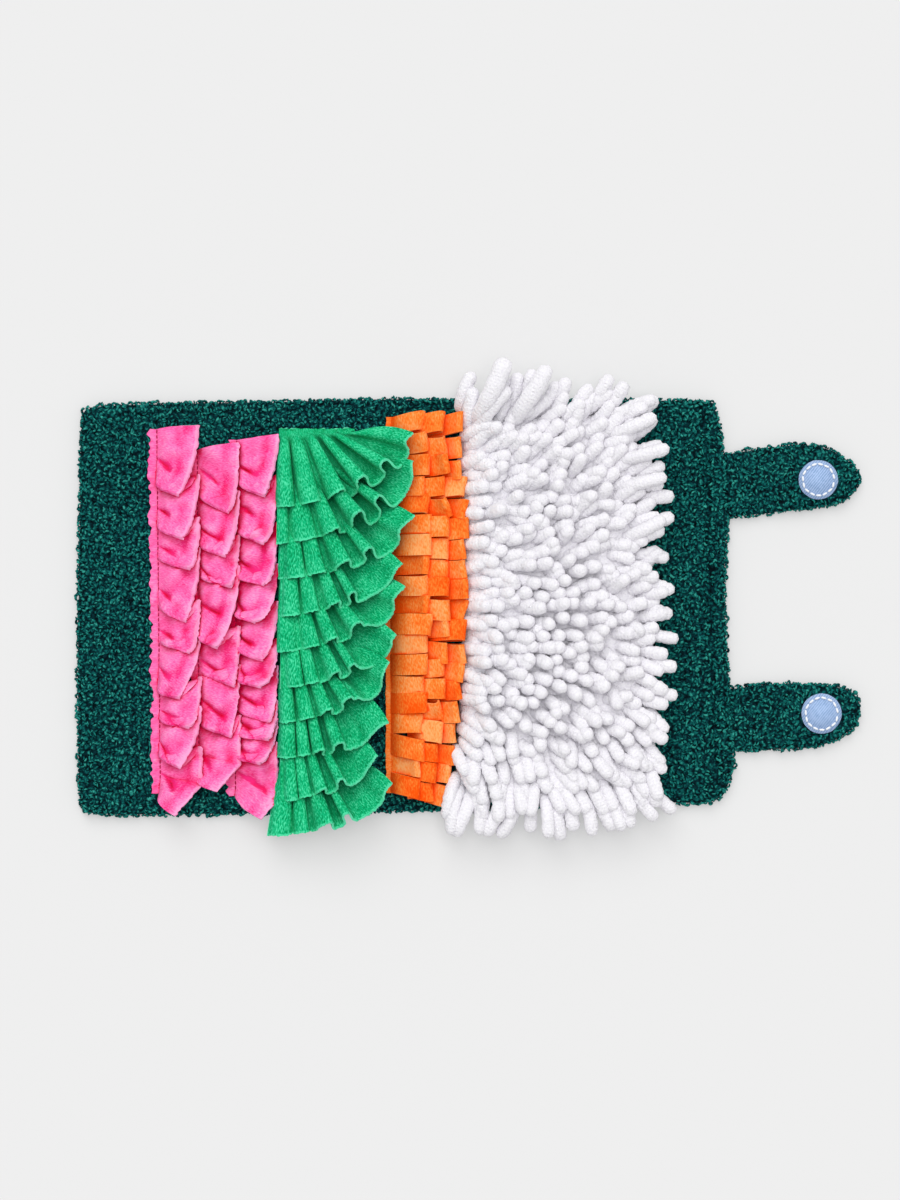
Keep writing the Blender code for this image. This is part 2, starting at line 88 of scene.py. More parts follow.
MAT_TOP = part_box("mat_body")[1][2] / MM
STRAP_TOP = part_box("strap_upper")[1][2] / MM
GAP = 0.3  # between the mat and what is sewn on it
FLEECE = 1.5  # thickness of the fleece
SEWN_Z = MAT_TOP + GAP + FLEECE / 2
SEAM_THREAD_Z = SEWN_Z + FLEECE / 2 + 0.25
EDGE_FIBRES_AND_LIGHT = 0.14  # how much lighter a ruffle is along its free edge, partly its paler cut fibres and partly painted light
SEED_STEPS = (7.3, 3.1, 5.7)  # how far apart the noise of two seeds is read

# Mat: a groove beside the turned edge that takes the straps, and a rounded rim of steps out and down
SEAM_ROUTE = ((163, 145), (166, 90), (168.4, 20), (169, -45), (172.6, -110), (172, -155))
SEAM_WIDTH = 2.4
SEAM_DEPTH = 2.2
SEAM_BARE = 0.9  # half width of the seam's stretch without loose curls
MAT_CELLS = (250, 158)
STRAP_CELLS = (54, 28)
RIM_PROFILE = ((0.35, -0.5), (1.0, -1.5), (1.35, -3.2), (1.1, -5.2), (0.3, -7.1), (-1.2, -8.0))
SLAB_INSET = 1.4  # how far the top's outermost points are pulled in
SLAB_TOP = (-0.5, 0.6)  # mean height of the pile over the solid's top, and half height of its curls
SLAB_FALL = (1.1, 3)  # how far the top falls towards its rim, and over how many cells
SIDE_CURL = (1.3, 2.0, 0.45)  # curls on the rim: how much closer, shift for its drop, how far they stand out
# Curled pile: seed, scale and reach of its winding; width and share of its coarse and its fine ridges
WIND_SEED = 1
CURL_WIND = (5.0, 2.2)
CURL_RIDGES = ((4.2, 0.45), (2.4, 0.55))
RIDGE_SHIFT = Vector((31, 7, 3))
RIDGE_SHARPNESS = 2.4
PILE_SHADING = (0.12, 0.16)  # middle and half range of the painted light and shade that the curls' height gives, lighter where higher
# One loose curl for a length of 1: turn of its arch, radius of the arch and half thickness of the yarn
CURL_ARCH = math.radians(220)
CURL_RING = 0.30
CURL_YARN = 0.23
CURL_ENDS = (0.15, 0.85)  # shares of the yarn beyond which it gets no thinner
CURL_BLUNT = 0.3  # power of its swelling, lower for blunter ends
CURL_TIP = 0.55  # spread of the curls' tilt in radians
CURL_SIZES = (0.75, 1.3)  # smallest and largest curl for the usual one
CURL_SHADE = (0.22, 0.50, 0.12)  # painted shade at a curl's foot, how much lighter its top is as painted light, random spread of tone between curls
CURL_SEAT = (-0.9, -0.2)  # lowest and highest seat of a curl against the solid's top
# Curls round a rim: their spacing for that on the top, lowest and highest place for the slab's height, how
# far out they sit and how much less at the top, size and scale of their clumps
RIM_PITCH = 0.55
RIM_PLACES = (0.35, 0.97)
RIM_OUT = (0.7, 1.2)
RIM_CLUMPS = (1.6, 4.5)
RIM_FACING = (1.2, 0.8)  # how far out its curls face at its foot, and how far up at its top
RAY_START = 60.0  # height from which rays look for a solid's top
RAY_OUT = 1000.0  # distance from which rays look for its outline
# Outlines: how far inside its node's box a patch's corners are, and points along each of its sides
MAT_PATCH = (3, 400)
STRAP_PATCH = (4, 120)
PATCH_BARE = 0.6  # ring round a tape patch without loose curls
# Bare stretches of the mat: x from, x to, y from, y to
BARE = {
    "sherpa_curls_left": ((-275, -219, -156, 140), (-219, -186, 104, 140), (-186, -52, 98, 140),
                          (-219, -120, -156, -112), (-120, -52, -156, -140), (-72, -52, -140, 20)),
    "sherpa_curls_right": ((-52, 128, 124, 140), (112, 188, -156, 140), (-52, 112, -156, -138)),
}

# Patches: insets and heights from the rim inwards; where the bound rim starts and its tone, how strong the
# wedge of painted sheen is and the weave's own tone; place of the stitches' ring and its sway, half
# thickness of a stitch and the gap between two as a share of their length
PATCH_SIDES = 72
PATCH_PROFILE = ((0.5, 0.35), (1.0, 0.15), (1.0, -0.25), (0.9, 0.1), (4.0, 0.15), (4.0, 0.05))
PATCH_TONES = (0.84, 0.35, 0.26, -0.06)
PATCH_STITCH = (0.81, 0.35, 0.85, 0.06)
PATCH_WAVES = (0.02, 3.5, 0.9)  # size for the radius and scale of its outline's waves, and where they start
PATCH_TILT = (0.25, 12.0)  # size and scale of its own unevenness
PATCH_SEAT = 0.4  # how far its rim's foot is below its node's top
PAINTED_SHEEN_TURN = 0.9  # radians that the painted sheen's wedge is turned by
RING_STEPS = 240
RING_WAVES = 9  # sways of the stitches' ring
RING_LIFT = 0.45  # of the thread over the node's top

# Pink columns: sewn down their left side, each fold leaning over the next like a scale
PINK_WIDTH = 31.5
PINK_HEADER = 5.5
PINK_REACH = 29.5
PINK_TIP_LIFT = 12.0
PINK_TROUGH = 4.4
PINK_DROP = (1.0, 6.5)  # least and most that a lip's root on the seam is above its tip
PINK_ROUND = (0.8, 2.0)  # from folds with a round corner to pointed ones
PINK_CORNER = 1.15  # how far over its tip the last fold's corner lies, for the tip's shorter reach
PINK_OVERLAP = 14.0  # how far a fold reaches over the next one at the free edge
PINK_ROLL = (1.3, 2.6)  # how far a lip rolls out and under
PINK_SHARE = 0.84  # share of the seam between two lips that the facet takes, the return having the rest
PINK_SAMPLES = (30, 10)  # along a facet and along its return
# distances from the stitch line, closer where the thread pulls the cloth in
PINK_ACROSS = (-5.5, -4.4, -3.3, -2.3, -1.5, -0.8, 0.0, 0.8, 1.6, 2.6, 3.8, 5.2, 6.8, 8.6, 10.6, 12.7, 14.9,
               17.1, 19.3, 21.5, 23.6, 25.6, 27.5, 29.2, 30.5, 31.5)
# stitch line: x and y at the top, x at the bottom; rise of the top edge to its right end; drop of the last
# tip below the stitch; folds: y of the tip, reach of the tip from the stitch
PINK_COLUMNS = {
    "pink_ruffle_1": {
        "stitch": (-217.4, 116.5, -214.9),
        "rise": 2.6,
        "end_drop": 15.0,
        "folds": ((71, 15.8), (41, 18.6), (20, 23.4), (-16.5, 20), (-38.2, 22.6), (-69.7, 15.3),
                  (-90, 21.7), (-118.3, 15.8), (-152.3, 11)),
    },
    "pink_ruffle_2": {
        "stitch": (-189.2, 102, -187.9),
        "rise": 5.2,
        "end_drop": 9.0,
        "folds": ((59.2, 22.3), (28.8, 20), (7.5, 24.5), (-34.7, 14.2), (-61.5, 25.6), (-96.6, 23.5),
                  (-135.5, 13.3)),
    },
    "pink_ruffle_3": {
        "stitch": (-161.8, 109, -162.6),
        "rise": 4.0,
        "end_drop": 16.0,
        "folds": ((70.5, 20.6), (37.5, 19.3), (8.9, 20.6), (-17.2, 14.5), (-43.5, 19), (-62, 17.9),
                  (-86, 24.5), (-98.4, 23.5), (-115.2, 18.6), (-154.8, 18.5)),
    },
}
CREASE_START = (0.3, 0.55)  # where on a fold's seam its crease starts
CREASE_SLOPE = 0.52  # fall of a crease for its run
CREASE_REACH = 24.0
CREASE_DEPTH = 5.6
# width of a crease's steep side; width of its soft side at the seam, and what its far end adds
CREASE_SIDES = (1.0, 0.9, 3.2)
CREASE_CHANGES = ((0.7, 1.5), (0.7, 1.15), (0.7, 1.15))  # least and most slope, reach and depth for these
STITCH_PULL = (0.55, 1.1)  # how far a stitch line pulls the cloth in, and how far from it that is felt
# the flute beside the free edge: share of the width where its rise starts and its height, middle, width and
# depth of the hollow before it; how much of both is left on average
FLUTE_RISE = (0.82, 3.672)
FLUTE_HOLLOW = (0.72, 0.09, 2.6)
FLUTE_MEAN = 0.75
# painted light and shade: how much a mm of flute, a mm of swell and a mm of crinkle lighten the cloth where
# it rises, and how much a whole crease darkens it
FLUTE_SHADING, CREASE_SHADING, SWELL_SHADING, CRINKLE_SHADING = 0.08, 0.75, 0.05, 0.12
# unevenness of the cloth, as its size and scale: ragged header, crinkles at the seam, changes between flutes,
# large and small swells, sideways bends, free edge
PINK_RAGGED = (3.0, 4.0)
PINK_CRINKLE = (1.0, 2.6)
PINK_FLUTES = (1.1, 13.0)
PINK_SWELLS = ((4.0, 9.0), (0.9, 4.0))
PINK_BENDS = (3.2, 11.0)
PINK_EDGE = (1.2, 1.7)
PINK_FLOOR = 1.2  # least height of the cloth over its seam
CRINKLE_IN = 3  # distance from the seam at which its crinkles are full
CRINKLE_FADE = 5  # how fast they fade over the width
CRINKLE_LIFT = 0.9  # how far a mm of crinkle lifts the cloth
PINK_HEADER_LIE = (0.6, 0.9, 1.4)  # of the header: sideways for its crinkles, height, lift for its crinkles
# how fast a lip's roll, the large swells and the least height come in from the seam over the width
ROLL_IN, SWELL_IN, FLOOR_IN = 4, 2.5, 5
BOW_FOR_SLACK = 0.375  # square of a shallow bow's height for that of its chord and its share of slack
PINK_STITCH = (3.0, 0.5)  # length and half thickness of a stitch

# Green rows: sewn along their top, hanging towards the lower edge and fanning out to the right
GREEN_LEFT = -131.0
GREEN_LEFT_STRAY = 1.6  # how far the rows' left ends stray
GREEN_ROOT_Z = SEWN_Z + 0.8
GREEN_TURN = 0.62  # share of the fanning out that comes evenly along a row, the rest towards its right end
GREEN_HEADER = 3.4
GREEN_HEADER_LINES = 3
GREEN_HEADER_LIE = (0.8, 1.5, -0.4)  # of the header: up the mat and lift for its crinkles, height
GREEN_SAMPLES = 26  # along each pleat
PROFILE_STEPS = 60
GREEN_ACROSS = (0, 0.02, 0.05, 0.09, 0.14, 0.19, 0.25, 0.31, 0.37, 0.43, 0.49, 0.55, 0.61, 0.67, 0.73, 0.78,
                0.83, 0.87, 0.91, 0.945, 0.97, 0.985, 1)
# share along the row: slope in degrees at the seam and at the free edge
GREEN_SLOPES = ((0.0, 22, -10), (0.28, 24, 0), (0.5, 24, 32), (0.9, 24, 50), (1.0, 26, 42))
# share along the row: half height of the pleats, how much wider their crests are than their valleys, how
# far their sides overhang, how far they lean
GREEN_PLEATS = ((0.0, 2.4, 0.70, 0.15, 0.10), (0.25, 3.6, 0.70, 0.30, 0.15), (0.40, 6.0, 0.20, 0.55, 0.25),
                (0.54, 8.4, -0.30, 0.72, 0.25), (0.76, 9.0, -0.45, 0.76, 0.15), (0.9, 6.5, -0.30, 0.35, 0.0),
                (1.0, 4.0, -0.20, 0.10, 0.0))
# share from which on a row is a smooth panel, in the first row and in the lower ones, and how much less
# often its pleats come there
GREEN_PANEL = (0.80, 0.62, 0.30)
GREEN_CALM = 0.75  # height of the lower rows' pleats for the first row's
GREEN_GATHER = (0.10, 0.50)  # share of the width in which the pleats rise to this share of their height
# stitch y, right end of the stitch line, left corner x and y, right tip x and y,
# folds, phase of the last fold in turns, how much fuller the left folds are
GREEN_ROWS = (
    (113.6, -79.5, -132.5, 62.0, -36.0, 112.5, 6.2, 0.02, 1.8),
    (91.4, -82.3, -132.5, 36.8, -37.4, 93.5, 6.2, -0.10, 1.4),
    (66.2, -78.8, -132.5, 11.6, -35.3, 55.0, 6.1, 0.05, 1.15),
    (41.0, -85.0, -132.5, -14.4, -44.4, 22.0, 6.4, -0.02, 1.1),
    (15.8, -86.5, -132.5, -38.9, -42.3, 6.7, 6.3, 0.08, 1.1),
    (-9.5, -90.0, -132.5, -64.1, -48.5, -27.0, 6.6, -0.08, 1.0),
    (-34.7, -95.6, -132.5, -87.9, -52.1, -45.9, 6.3, 0.0, 1.1),
    (-59.9, -87.9, -132.5, -112.4, -53.5, -88.6, 6.2, 0.08, 1.1),
    (-85.8, -97.7, -132.4, -143.2, -61.2, -111.0, 6.4, -0.05, 1.0),
    (-111.0, -92.1, -141.0, -166.3, -51.4, -129.2, 6.6, 0.0, 1.1),
)
GREEN_BULGE = 4.5  # how far a row's right end bows out
GREEN_TUCK = 2.0  # how far a row's left end dips
GREEN_UNEVEN = (0.6, 1.2)  # how much the pleats' height varies, and over how many pleats
# how far the pleats stray in radians, how that fades along a row's smooth panel, over how many pleats
GREEN_DRIFT = (2.2, 5.0, 1.4)
LOWER_ROWS = 3  # rows below the first at which its difference from the lower ones is full
FULL_FADE = 1.6  # how fast the left folds' fullness fades along a row
# how fast a row's end bows out and its start is tucked in
BULGE_IN, TUCK_FADE = 4, 40
# unevenness of the cloth, as its size and scale: crinkles of the header, swells, free edge
GREEN_CRINKLE = (1.4, 1.0)
GREEN_SWELL = (1.6, 11.0)
GREEN_EDGE = (1.1, 1.6)

# Orange columns: a folded strip slit into tabs, each tab a soft loop
# stitch x, header beyond it, top y, bottom y, reach of the tabs at the top, middle and bottom
ORANGE_COLUMNS = {
    "orange_loops_1": (-52.0, 5.7, 125.0, -137.0, 24.5, 29.0, 19.5),
    "orange_loops_2": (-39.6, 3.0, 124.0, -141.0, 26.0, 30.0, 18.5),
    "orange_loops_3": (-27.6, 3.0, 123.0, -143.5, 24.5, 29.5, 15.0),
}
# for each column: spread of the tabs' twist in degrees, share of tabs whose end stands up
ORANGE_TABS = {"orange_loops_1": (11, 0.16), "orange_loops_2": (11, 0.22), "orange_loops_3": (9, 0.8)}
TABS = 19
TAB_GAP = 0.2
# how far the first and the last tabs fan out in radians, and over how many tabs that fades
TAB_FAN = ((0.16, 3), (-0.22, 4))
TAB_ROOT_SHADE = (0.26, 0.32)  # painted shade: how much darker a tab is at its root, and the share of it in which that fades
# lying and standing tabs: rise for their run at the root and at the end, radius of their fold, how far
# their upper layer puffs up
TAB_SHAPES = ((0.55, 0.55, 3.0, 2.6), (0.35, 1.9, 1.8, 1.0))
TAB_SAMPLES = (9, 9)  # along each layer and round its fold, and across its width
TAB_TILT = 0.06  # spread of the tabs' slopes
TAB_YAW = 0.045  # spread of the tabs' turn in radians, apart from their fan
TAB_TONE = (-0.01, 0.07)  # mean tone of the tabs and its spread
TAB_REACHES = (-1.6, 1.2)  # least and most that a single tab's reach differs
TAB_STEPS = 24  # along a tab's bend
TAB_RISE = 1.5  # how much higher the line that it twists about is at its end
TAB_FLOOR = 0.2  # least gap between a tab and the mat
TAB_SINK = 0.8  # how far the lower layer of a tab sinks
TAB_CRUMPLE = (1.5, 8.0)  # size and scale of the tabs' unevenness
CRUMPLE_OUT = 0.5  # how much of it is along the tab too
HEADER_RIGHT = 2.0
HEADER_THICK = 3.4
HEADER_SAMPLES = (180, 10)  # along the header and across it
HEADER_RAGGED = (0.9, 5.0)  # size and scale of its ragged edge
HEADER_SWELL = (0.7, 6.0)  # size and scale of its lumps
HEADER_DIP = (0.9, 0.8)  # how far the stitch line pulls it down, and how far from it that is felt
UNEVEN = (1.7, 1.1)  # how much the tabs' reach and their cuts vary
UNEVEN_TURNS = (2.3, 1.9, 0.9)
ORANGE_STITCH = (3.2, 0.4)
ORANGE_THREAD_DIP = 0.4  # how far its thread is below the header's top

# Chenille pile: noodles sewn in staggered rows
# y, left x and right x of the roots
PILE_ROOTS = ((128, -6, 112), (100, -7, 115), (40, -5, 119), (-20, -4, 122), (-80, -7, 124), (-134, -9, 124))
PILE_PITCH = (9.7, 9.0)
PILE_SCATTER = (2.4, 2.2)  # how far a root strays along its row and across it
PILE_ROOT_Z = MAT_TOP + 3.0
LONG_ROOT_Z = MAT_TOP + 9.0
BED_CELLS = (60, 120)
BED_HEIGHTS = (0.5, 14.5, 1.6)  # matted roots over the mat: at the rim, inside, and their lumps
BED_RIM = 4  # cells over which the bed rises from its rim
BED_LUMP = 5  # scale of its lumps
BED_FOOT = 0.1  # height of its underside over the mat
NOODLE_LENGTH = 29.0
NOODLE_LENGTHS = (-3.0, 3.0)  # least and most that a single noodle's length differs
NOODLE_WIDTHS = (0.92, 1.06)  # thinnest and thickest noodle for the usual one
# spread of the noodles' direction and lean in degrees and of their bow in radians; share of it at the rim
NOODLE_SPREAD = (17, 11, 0.35)
NOODLE_CALM = 0.55
NOODLE_CAP = 0.12  # share of the pattern's corners that closes each end
NOODLE_RIB = 2.3  # distance between a noodle's turns of fibre
NOODLE_STEPS = 24  # along the bend of a noodle
NOODLE_BEND = (0.22, 1.15, 0.9)  # share of its lean at its root, how fast the rest comes, its power
BOW_FROM = 0.3  # share of its length where it heads in its own direction
NOODLE_PATTERN = (11, 15)  # sides of a noodle and rings along it
# lumps of a noodle: half height for its radius, and how fast they change for a mm of its length, for a turn
# round it and with its direction and bow
NOODLE_LUMPS = ((0.05, 1.1, 0, 9, 0), (0.04, 0, 3, 0, 20), (0.06, 1.5, 2, 31, 0))
LONG_LEAN = 86
NOODLE_PARTS = 3  # pieces that the noodles are shared out over
# share down the zone; direction in degrees, final lean in degrees and extra length in mm at the left,
# middle and right
PILE_FIELD = (
    (0.00, (75, 58, 42), (88, 84, 84), (8, 5, 4)),
    (0.07, (35, 48, 36), (70, 66, 78), (2, 0, 0)),
    (0.20, (4, 40, 24), (66, 48, 76), (0, 0, 0)),
    (0.40, (-2, 22, 12), (62, 36, 78), (0, 0, 0)),
    (0.58, (-10, -6, -8), (56, 24, 78), (0, 0, 0)),
    (0.76, (-16, -34, -34), (54, 22, 76), (0, 0, 0)),
    (0.88, (-60, -52, -44), (68, 52, 78), (2, 0, 0)),
    (0.95, (-100, -66, -50), (84, 76, 82), (8, 6, 2)),
    (1.00, (-118, -84, -56), (90, 90, 88), (11, 10, 4)),
)
# x, y, direction in degrees, length, bow, share of the usual width
LONG_NOODLES = ((5, 122, 60, 57, 0.3, 1.35), (30, 122, 52, 54, 0.3, 1.3), (6, 116, 56, 44, -0.3, 1.1),
                (99, 112, 20, 40, 0.2, 1.0), (104, 94, 13, 43, 0.1, 0.98), (104, 74, 16, 41, -0.1, 0.98),
                (108, 40, 24, 38, 0.2, 1.0))

# Stage
FLOOR_SIZE = 6.0  # from its middle to its sides, in metres
VIEW_MIDDLE = (-13.0, -2.5)
VIEW_HEIGHT = 840.0
CAMERA_HEIGHT = 2.5  # in metres
# name, direction that it comes from, width in degrees
LIGHTS = (("key", (-0.4, 1.9, 2.0), 40), ("overhead", (0.1, 0.3, 2.4), 40))

# Shelter, which the fleece finish paints as shade: how far a neighbour is felt, rays that look for it and
# where they start off the cloth
SHELTER_REACH = 16.0
SHELTER_RAYS = 10
SHELTER_START = (0.6, 0.3)  # along the cloth's own normal, and up
GOLDEN_TURN = 2.4  # radians from ray to ray, which spread them evenly

# Threads: colour between the plies and on them
THREADS = {
    "magenta": ("#8C0638", "#C01450"),
    "orange": ("#C83A06", "#F0601A"),
    "white": ("#E6ECF6", "#FFFFFF"),
}
STITCH_GAP = 0.18  # between running stitches, as a share of their length
FIRST_STITCH = 0.2  # from the start of a seam to its first stitch
# Fleece finishes: share of the nap in the mottling, half width of the colours' ramp, shelter from which the
# deep colour, which is painted shade, shows and at which it is full
FLEECE_LOOKS = {
    "pink": (0.7, 0.26, 0.12, 0.64),
    "green": (0.8, 0.135, 0.2, 1.0),
    "orange": (0.6, 0.2, 0.12, 0.8),
}


def linear(hex_colour):
    """An sRGB hex colour as linear red, green, blue and alpha."""
    channels = [int(hex_colour[k:k + 2], 16) / 255 for k in (1, 3, 5)]
    return (*[c / 12.92 if c <= 0.04045 else ((c + 0.055) / 1.055) ** 2.4 for c in channels], 1.0)


def node(tree, kind, inputs=(), **settings):
    """Adds a shader node; settings are its properties, inputs its sockets' values or their sources."""
    made = tree.nodes.new("ShaderNode" + kind)
    for key, value in settings.items():
        setattr(made, key, value)
    for socket, value in dict(inputs).items():
        if isinstance(value, bpy.types.NodeSocket):
            tree.links.new(value, made.inputs[socket])
        else:
            made.inputs[socket].default_value = value
    return made


def ramp(tree, factor, positions, colours):
    """The colour that a factor picks between colours at these positions."""
    made = node(tree, "ValToRGB", {"Fac": factor})
    elements = made.color_ramp.elements
    while len(elements) < len(colours):
        elements.new(0.5)
    for element, position, colour in zip(elements, positions, colours):
        element.position = position
        element.color = colour
    return made.outputs["Color"]


def new_material(name, roughness, sheen, tint):
    """(node tree, shader) of a new cloth material with this roughness and sheen."""
    material = bpy.data.materials.new(name)
    material.use_nodes = True
    tree = material.node_tree
    shader = tree.nodes["Principled BSDF"]
    shader.inputs["Roughness"].default_value = roughness
    shader.inputs["Specular IOR Level"].default_value = 0.08
    shader.inputs["Sheen Weight"].default_value = sheen
    shader.inputs["Sheen Roughness"].default_value = 0.5
    shader.inputs["Sheen Tint"].default_value = tint
    return tree, shader


def finish_material(tree, shader, colour, height, strength, depth):
    """Joins a colour and a bump of this depth in mm to the shader."""
    bump = node(tree, "Bump", {"Height": height, "Strength": strength, "Distance": depth * MM})
    tree.links.new(colour, shader.inputs["Base Color"])
    tree.links.new(bump.outputs["Normal"], shader.inputs["Normal"])


def place_on(tree):
    """The place on a piece."""
    return node(tree, "TexCoord").outputs["Object"]


def stored(tree, name):
    """A value that the mesh holds at each of its points."""
    return node(tree, "Attribute", attribute_name=name).outputs["Fac"]


def calc(tree, operation, *values):
    """The result of this operation on values or sockets."""
    return node(tree, "Math", dict(enumerate(values)), operation=operation).outputs[0]


def blend(tree, share, first, second):
    """A value between two, nearer to the second the larger the share."""
    return node(tree, "Mix", {0: share, 2: first, 3: second}, data_type="FLOAT").outputs[0]


def grain(tree, place, size, **inputs):
    """Noise with grains of this size in mm."""
    return node(tree, "TexNoise", {"Vector": place, "Scale": 1 / (size * MM), **inputs}).outputs["Fac"]


def finish_called(pattern):
    """Makes a finish when it is first asked for, and finds it by its name from then on.

    The pattern is its name, with {} for the colour that some finishes are made in."""
    def decorate(make):
        def finish(*values):
            name = pattern.format(*values)
            if name not in bpy.data.materials:
                make(name, *values)
            return bpy.data.materials[name]
        return finish
    return decorate


@finish_called("sherpa_dyed_curled_pile")
def sherpa(name):
    """Dyed polyester sherpa: curled pile, with a painted highlight where a curl turns up and painted shade,
    near black, between curls and round the tufts of its pattern.
    """
    props = bpy.context.scene.snuffle_sherpa
    tree, shader = new_material(name, 0.9, 0.0, props.light)
    place = place_on(tree)
    fibres = grain(tree, place, 0.9, Detail=2.0)
    swirl = node(tree, "TexNoise", {"Vector": place, "Scale": 1 / (3.4 * MM), "Detail": 1.0}).outputs["Color"]
    moved = node(tree, "VectorMath", {0: swirl, 1: (2.6 * MM,) * 3}, operation="MULTIPLY").outputs[0]
    bent = node(tree, "VectorMath", {0: place, 1: moved}, operation="ADD").outputs[0]
    tufts = node(tree, "TexVoronoi", {"Vector": bent, "Scale": 1 / (2.5 * MM)}).outputs["Distance"]
    pile = stored(tree, "pile")
    # painted shade: darker round the edges of the tufts, lighter in their middles
    hollow = calc(tree, "MULTIPLY_ADD", tufts, -0.75, 0.44)
    grain_and_tuft_shade = calc(tree, "MULTIPLY_ADD", fibres, 0.5, hollow)
    # the stored pile value is painted light and shade from the curls' height
    level = calc(tree, "SUBTRACT", calc(tree, "ADD", pile, grain_and_tuft_shade), 0.25)
    colour = ramp(tree, level, (0.0, 0.28, 0.62, 1.0), (props.deep, props.dark, props.middle, props.light))
    finish_material(tree, shader, colour, grain_and_tuft_shade, 0.9, 1.2)


@finish_called("fleece_brushed_{}")
def fleece(name, colour):
    """Brushed polyester fleece: a soft nap with short lighter fibres lying away from the seam, with painted
    light and shade from the stored tone and a deep colour painted as shade where neighbours hide the sky.
    """
    props = bpy.context.scene.snuffle_fleece
    tones = ("shade", "middle", "light", "deep")
    shade, middle, light, deep = (getattr(props, f"{colour}_{tone}") for tone in tones)
    flecks, spread, deep_from, deep_at = FLEECE_LOOKS[colour]
    tree, shader = new_material(name, 0.9, 0.08, light)
    clouds = grain(tree, place_on(tree), 12.0, Detail=1.0)
    cloth = node(tree, "UVMap", uv_map="cloth").outputs["UV"]
    lying = node(tree, "Mapping", {"Vector": cloth, "Rotation": (0, 0, 0.25), "Scale": (0.45, 1, 1)})
    nap = grain(tree, lying.outputs["Vector"], 1.0, Detail=2.0)
    # the stored tone holds painted light and shade from the cloth's relief, beside the tabs' random tone
    level = calc(tree, "ADD", blend(tree, flecks, clouds, nap), stored(tree, "tone"))
    open_colour = ramp(tree, level, (0.5 - spread, 0.5, 0.5 + spread), (shade, middle, light))
    # painted shade: the deep colour shows where neighbours hide the sky
    shelter = stored(tree, "shelter")
    shade_share = node(tree, "MapRange", {"Value": shelter, "From Min": deep_from, "From Max": deep_at})
    mix = node(tree, "Mix", {0: shade_share.outputs[0], 6: open_colour, 7: deep}, data_type="RGBA")
    finish_material(tree, shader, mix.outputs[2], nap, 0.5, 0.5)


@finish_called("fleece_cut_edge_{}")
def cut_edge(name, colour):
    """The cut edge of the same fleece, paler where its fibres stand out, its colours partly painted light
    that lifts its shaded faces.
    """
    props = bpy.context.scene.snuffle_fleece
    light, edge = getattr(props, f"{colour}_light"), getattr(props, f"{colour}_edge")
    tree, shader = new_material(name, 0.95, 0.1, edge)
    fibres = grain(tree, place_on(tree), 0.8, Detail=2.0)
    finish_material(tree, shader, ramp(tree, fibres, (0.35, 0.6), (light, edge)), fibres, 0.6, 0.4)


@finish_called("chenille_microfibre_white")
def chenille(name):
    """White microfibre chenille: dense short fibres in turns round a cord, soft, bright, faintly ribbed, with
    painted shade between its fibres and ribs and lighter tips.
    """
    props = bpy.context.scene.snuffle_pile
    tree, shader = new_material(name, 1.0, 0.6, props.light)
    shader.inputs["Subsurface Weight"].default_value = 0.2
    shader.inputs["Subsurface Radius"].default_value = (1, 1, 1)
    shader.inputs["Subsurface Scale"].default_value = 2.5 * MM
    place = place_on(tree)
    fuzz = grain(tree, place, 1.5, Detail=3.0, Roughness=0.6)
    tufts = grain(tree, place, 2.4, Detail=1.0)
    ribs = calc(tree, "MULTIPLY", calc(tree, "SINE", stored(tree, "turns")), tufts)
    height = calc(tree, "MULTIPLY_ADD", ribs, 0.09, fuzz)
    # painted shade: darker where the fibres and ribs are low, lighter at their tips
    colour = ramp(tree, height, (0.32, 0.52, 0.72), (props.deep, props.middle, props.light))
    finish_material(tree, shader, colour, height, 1.0, 1.4)


@finish_called("loop_tape_woven_nylon")
def loop_tape(name):
    """Woven nylon loop tape: fine diagonal ribs under a thin haze of loops, paler at its bound rim, with a
    wedge of painted sheen from the stored tone.
    """
    props = bpy.context.scene.snuffle_tape
    rib = 1.5 * MM  # coarser than the real 0.5 mm, so that it shows
    tree, shader = new_material(name, 0.75, 0.3, props.light)
    place = place_on(tree)
    turned = node(tree, "Mapping", {"Vector": place, "Rotation": (0, 0, math.radians(38))}).outputs["Vector"]
    ribs = node(tree, "TexWave", {"Vector": turned, "Scale": 2 * math.pi / 20 / rib, "Distortion": 1.5,
                                  "Detail": 2.0, "Detail Scale": 2.0}).outputs["Fac"]
    woven = blend(tree, 0.62, ribs, grain(tree, place, 2.6, Detail=3.0))
    level = calc(tree, "ADD", woven, stored(tree, "tone"))
    colour = ramp(tree, level, (0.2, 0.6, 1.0), (props.shade, props.middle, props.light))
    finish_material(tree, shader, colour, woven, 0.3, 0.3)


@finish_called("thread_spun_{}")
def thread(name, colour):
    """Spun polyester sewing thread: two plies, matt."""
    dark, light = (linear(tone) for tone in THREADS[colour])
    tree, shader = new_material(name, 0.75, 0.15, light)
    plies = grain(tree, place_on(tree), 0.5, Detail=1.0)
    finish_material(tree, shader, ramp(tree, plies, (0.35, 0.65), (dark, light)), plies, 0.5, 0.2)


def finish_piece(name, mesh, materials, slot, *nodes):
    """Adds a mesh to the scene as a piece that rides on the mat and stands for these nodes."""
    piece = bpy.data.objects.new(name, mesh)
    for material in materials:
        mesh.materials.append(material)
    bpy.context.scene.collection.objects.link(piece)
    mesh.shade_smooth()
    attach(piece, BODY)
    if nodes:
        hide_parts(*nodes)
    return piece


def fleece_piece(name, colour, mesh):
    """A fleece sheet as a piece that stands for the node of its name, with its thickness and cut edges."""
    piece = finish_piece("fleece_" + name, mesh, [fleece(colour), cut_edge(colour)], "fleece_" + colour, name)
    thicken(piece)
    return piece


def mesh_from(bm, name):
    """The mesh that a bmesh holds, which is freed."""
    mesh = bpy.data.meshes.new(name)
    bm.to_mesh(mesh)
    bm.free()
    return mesh


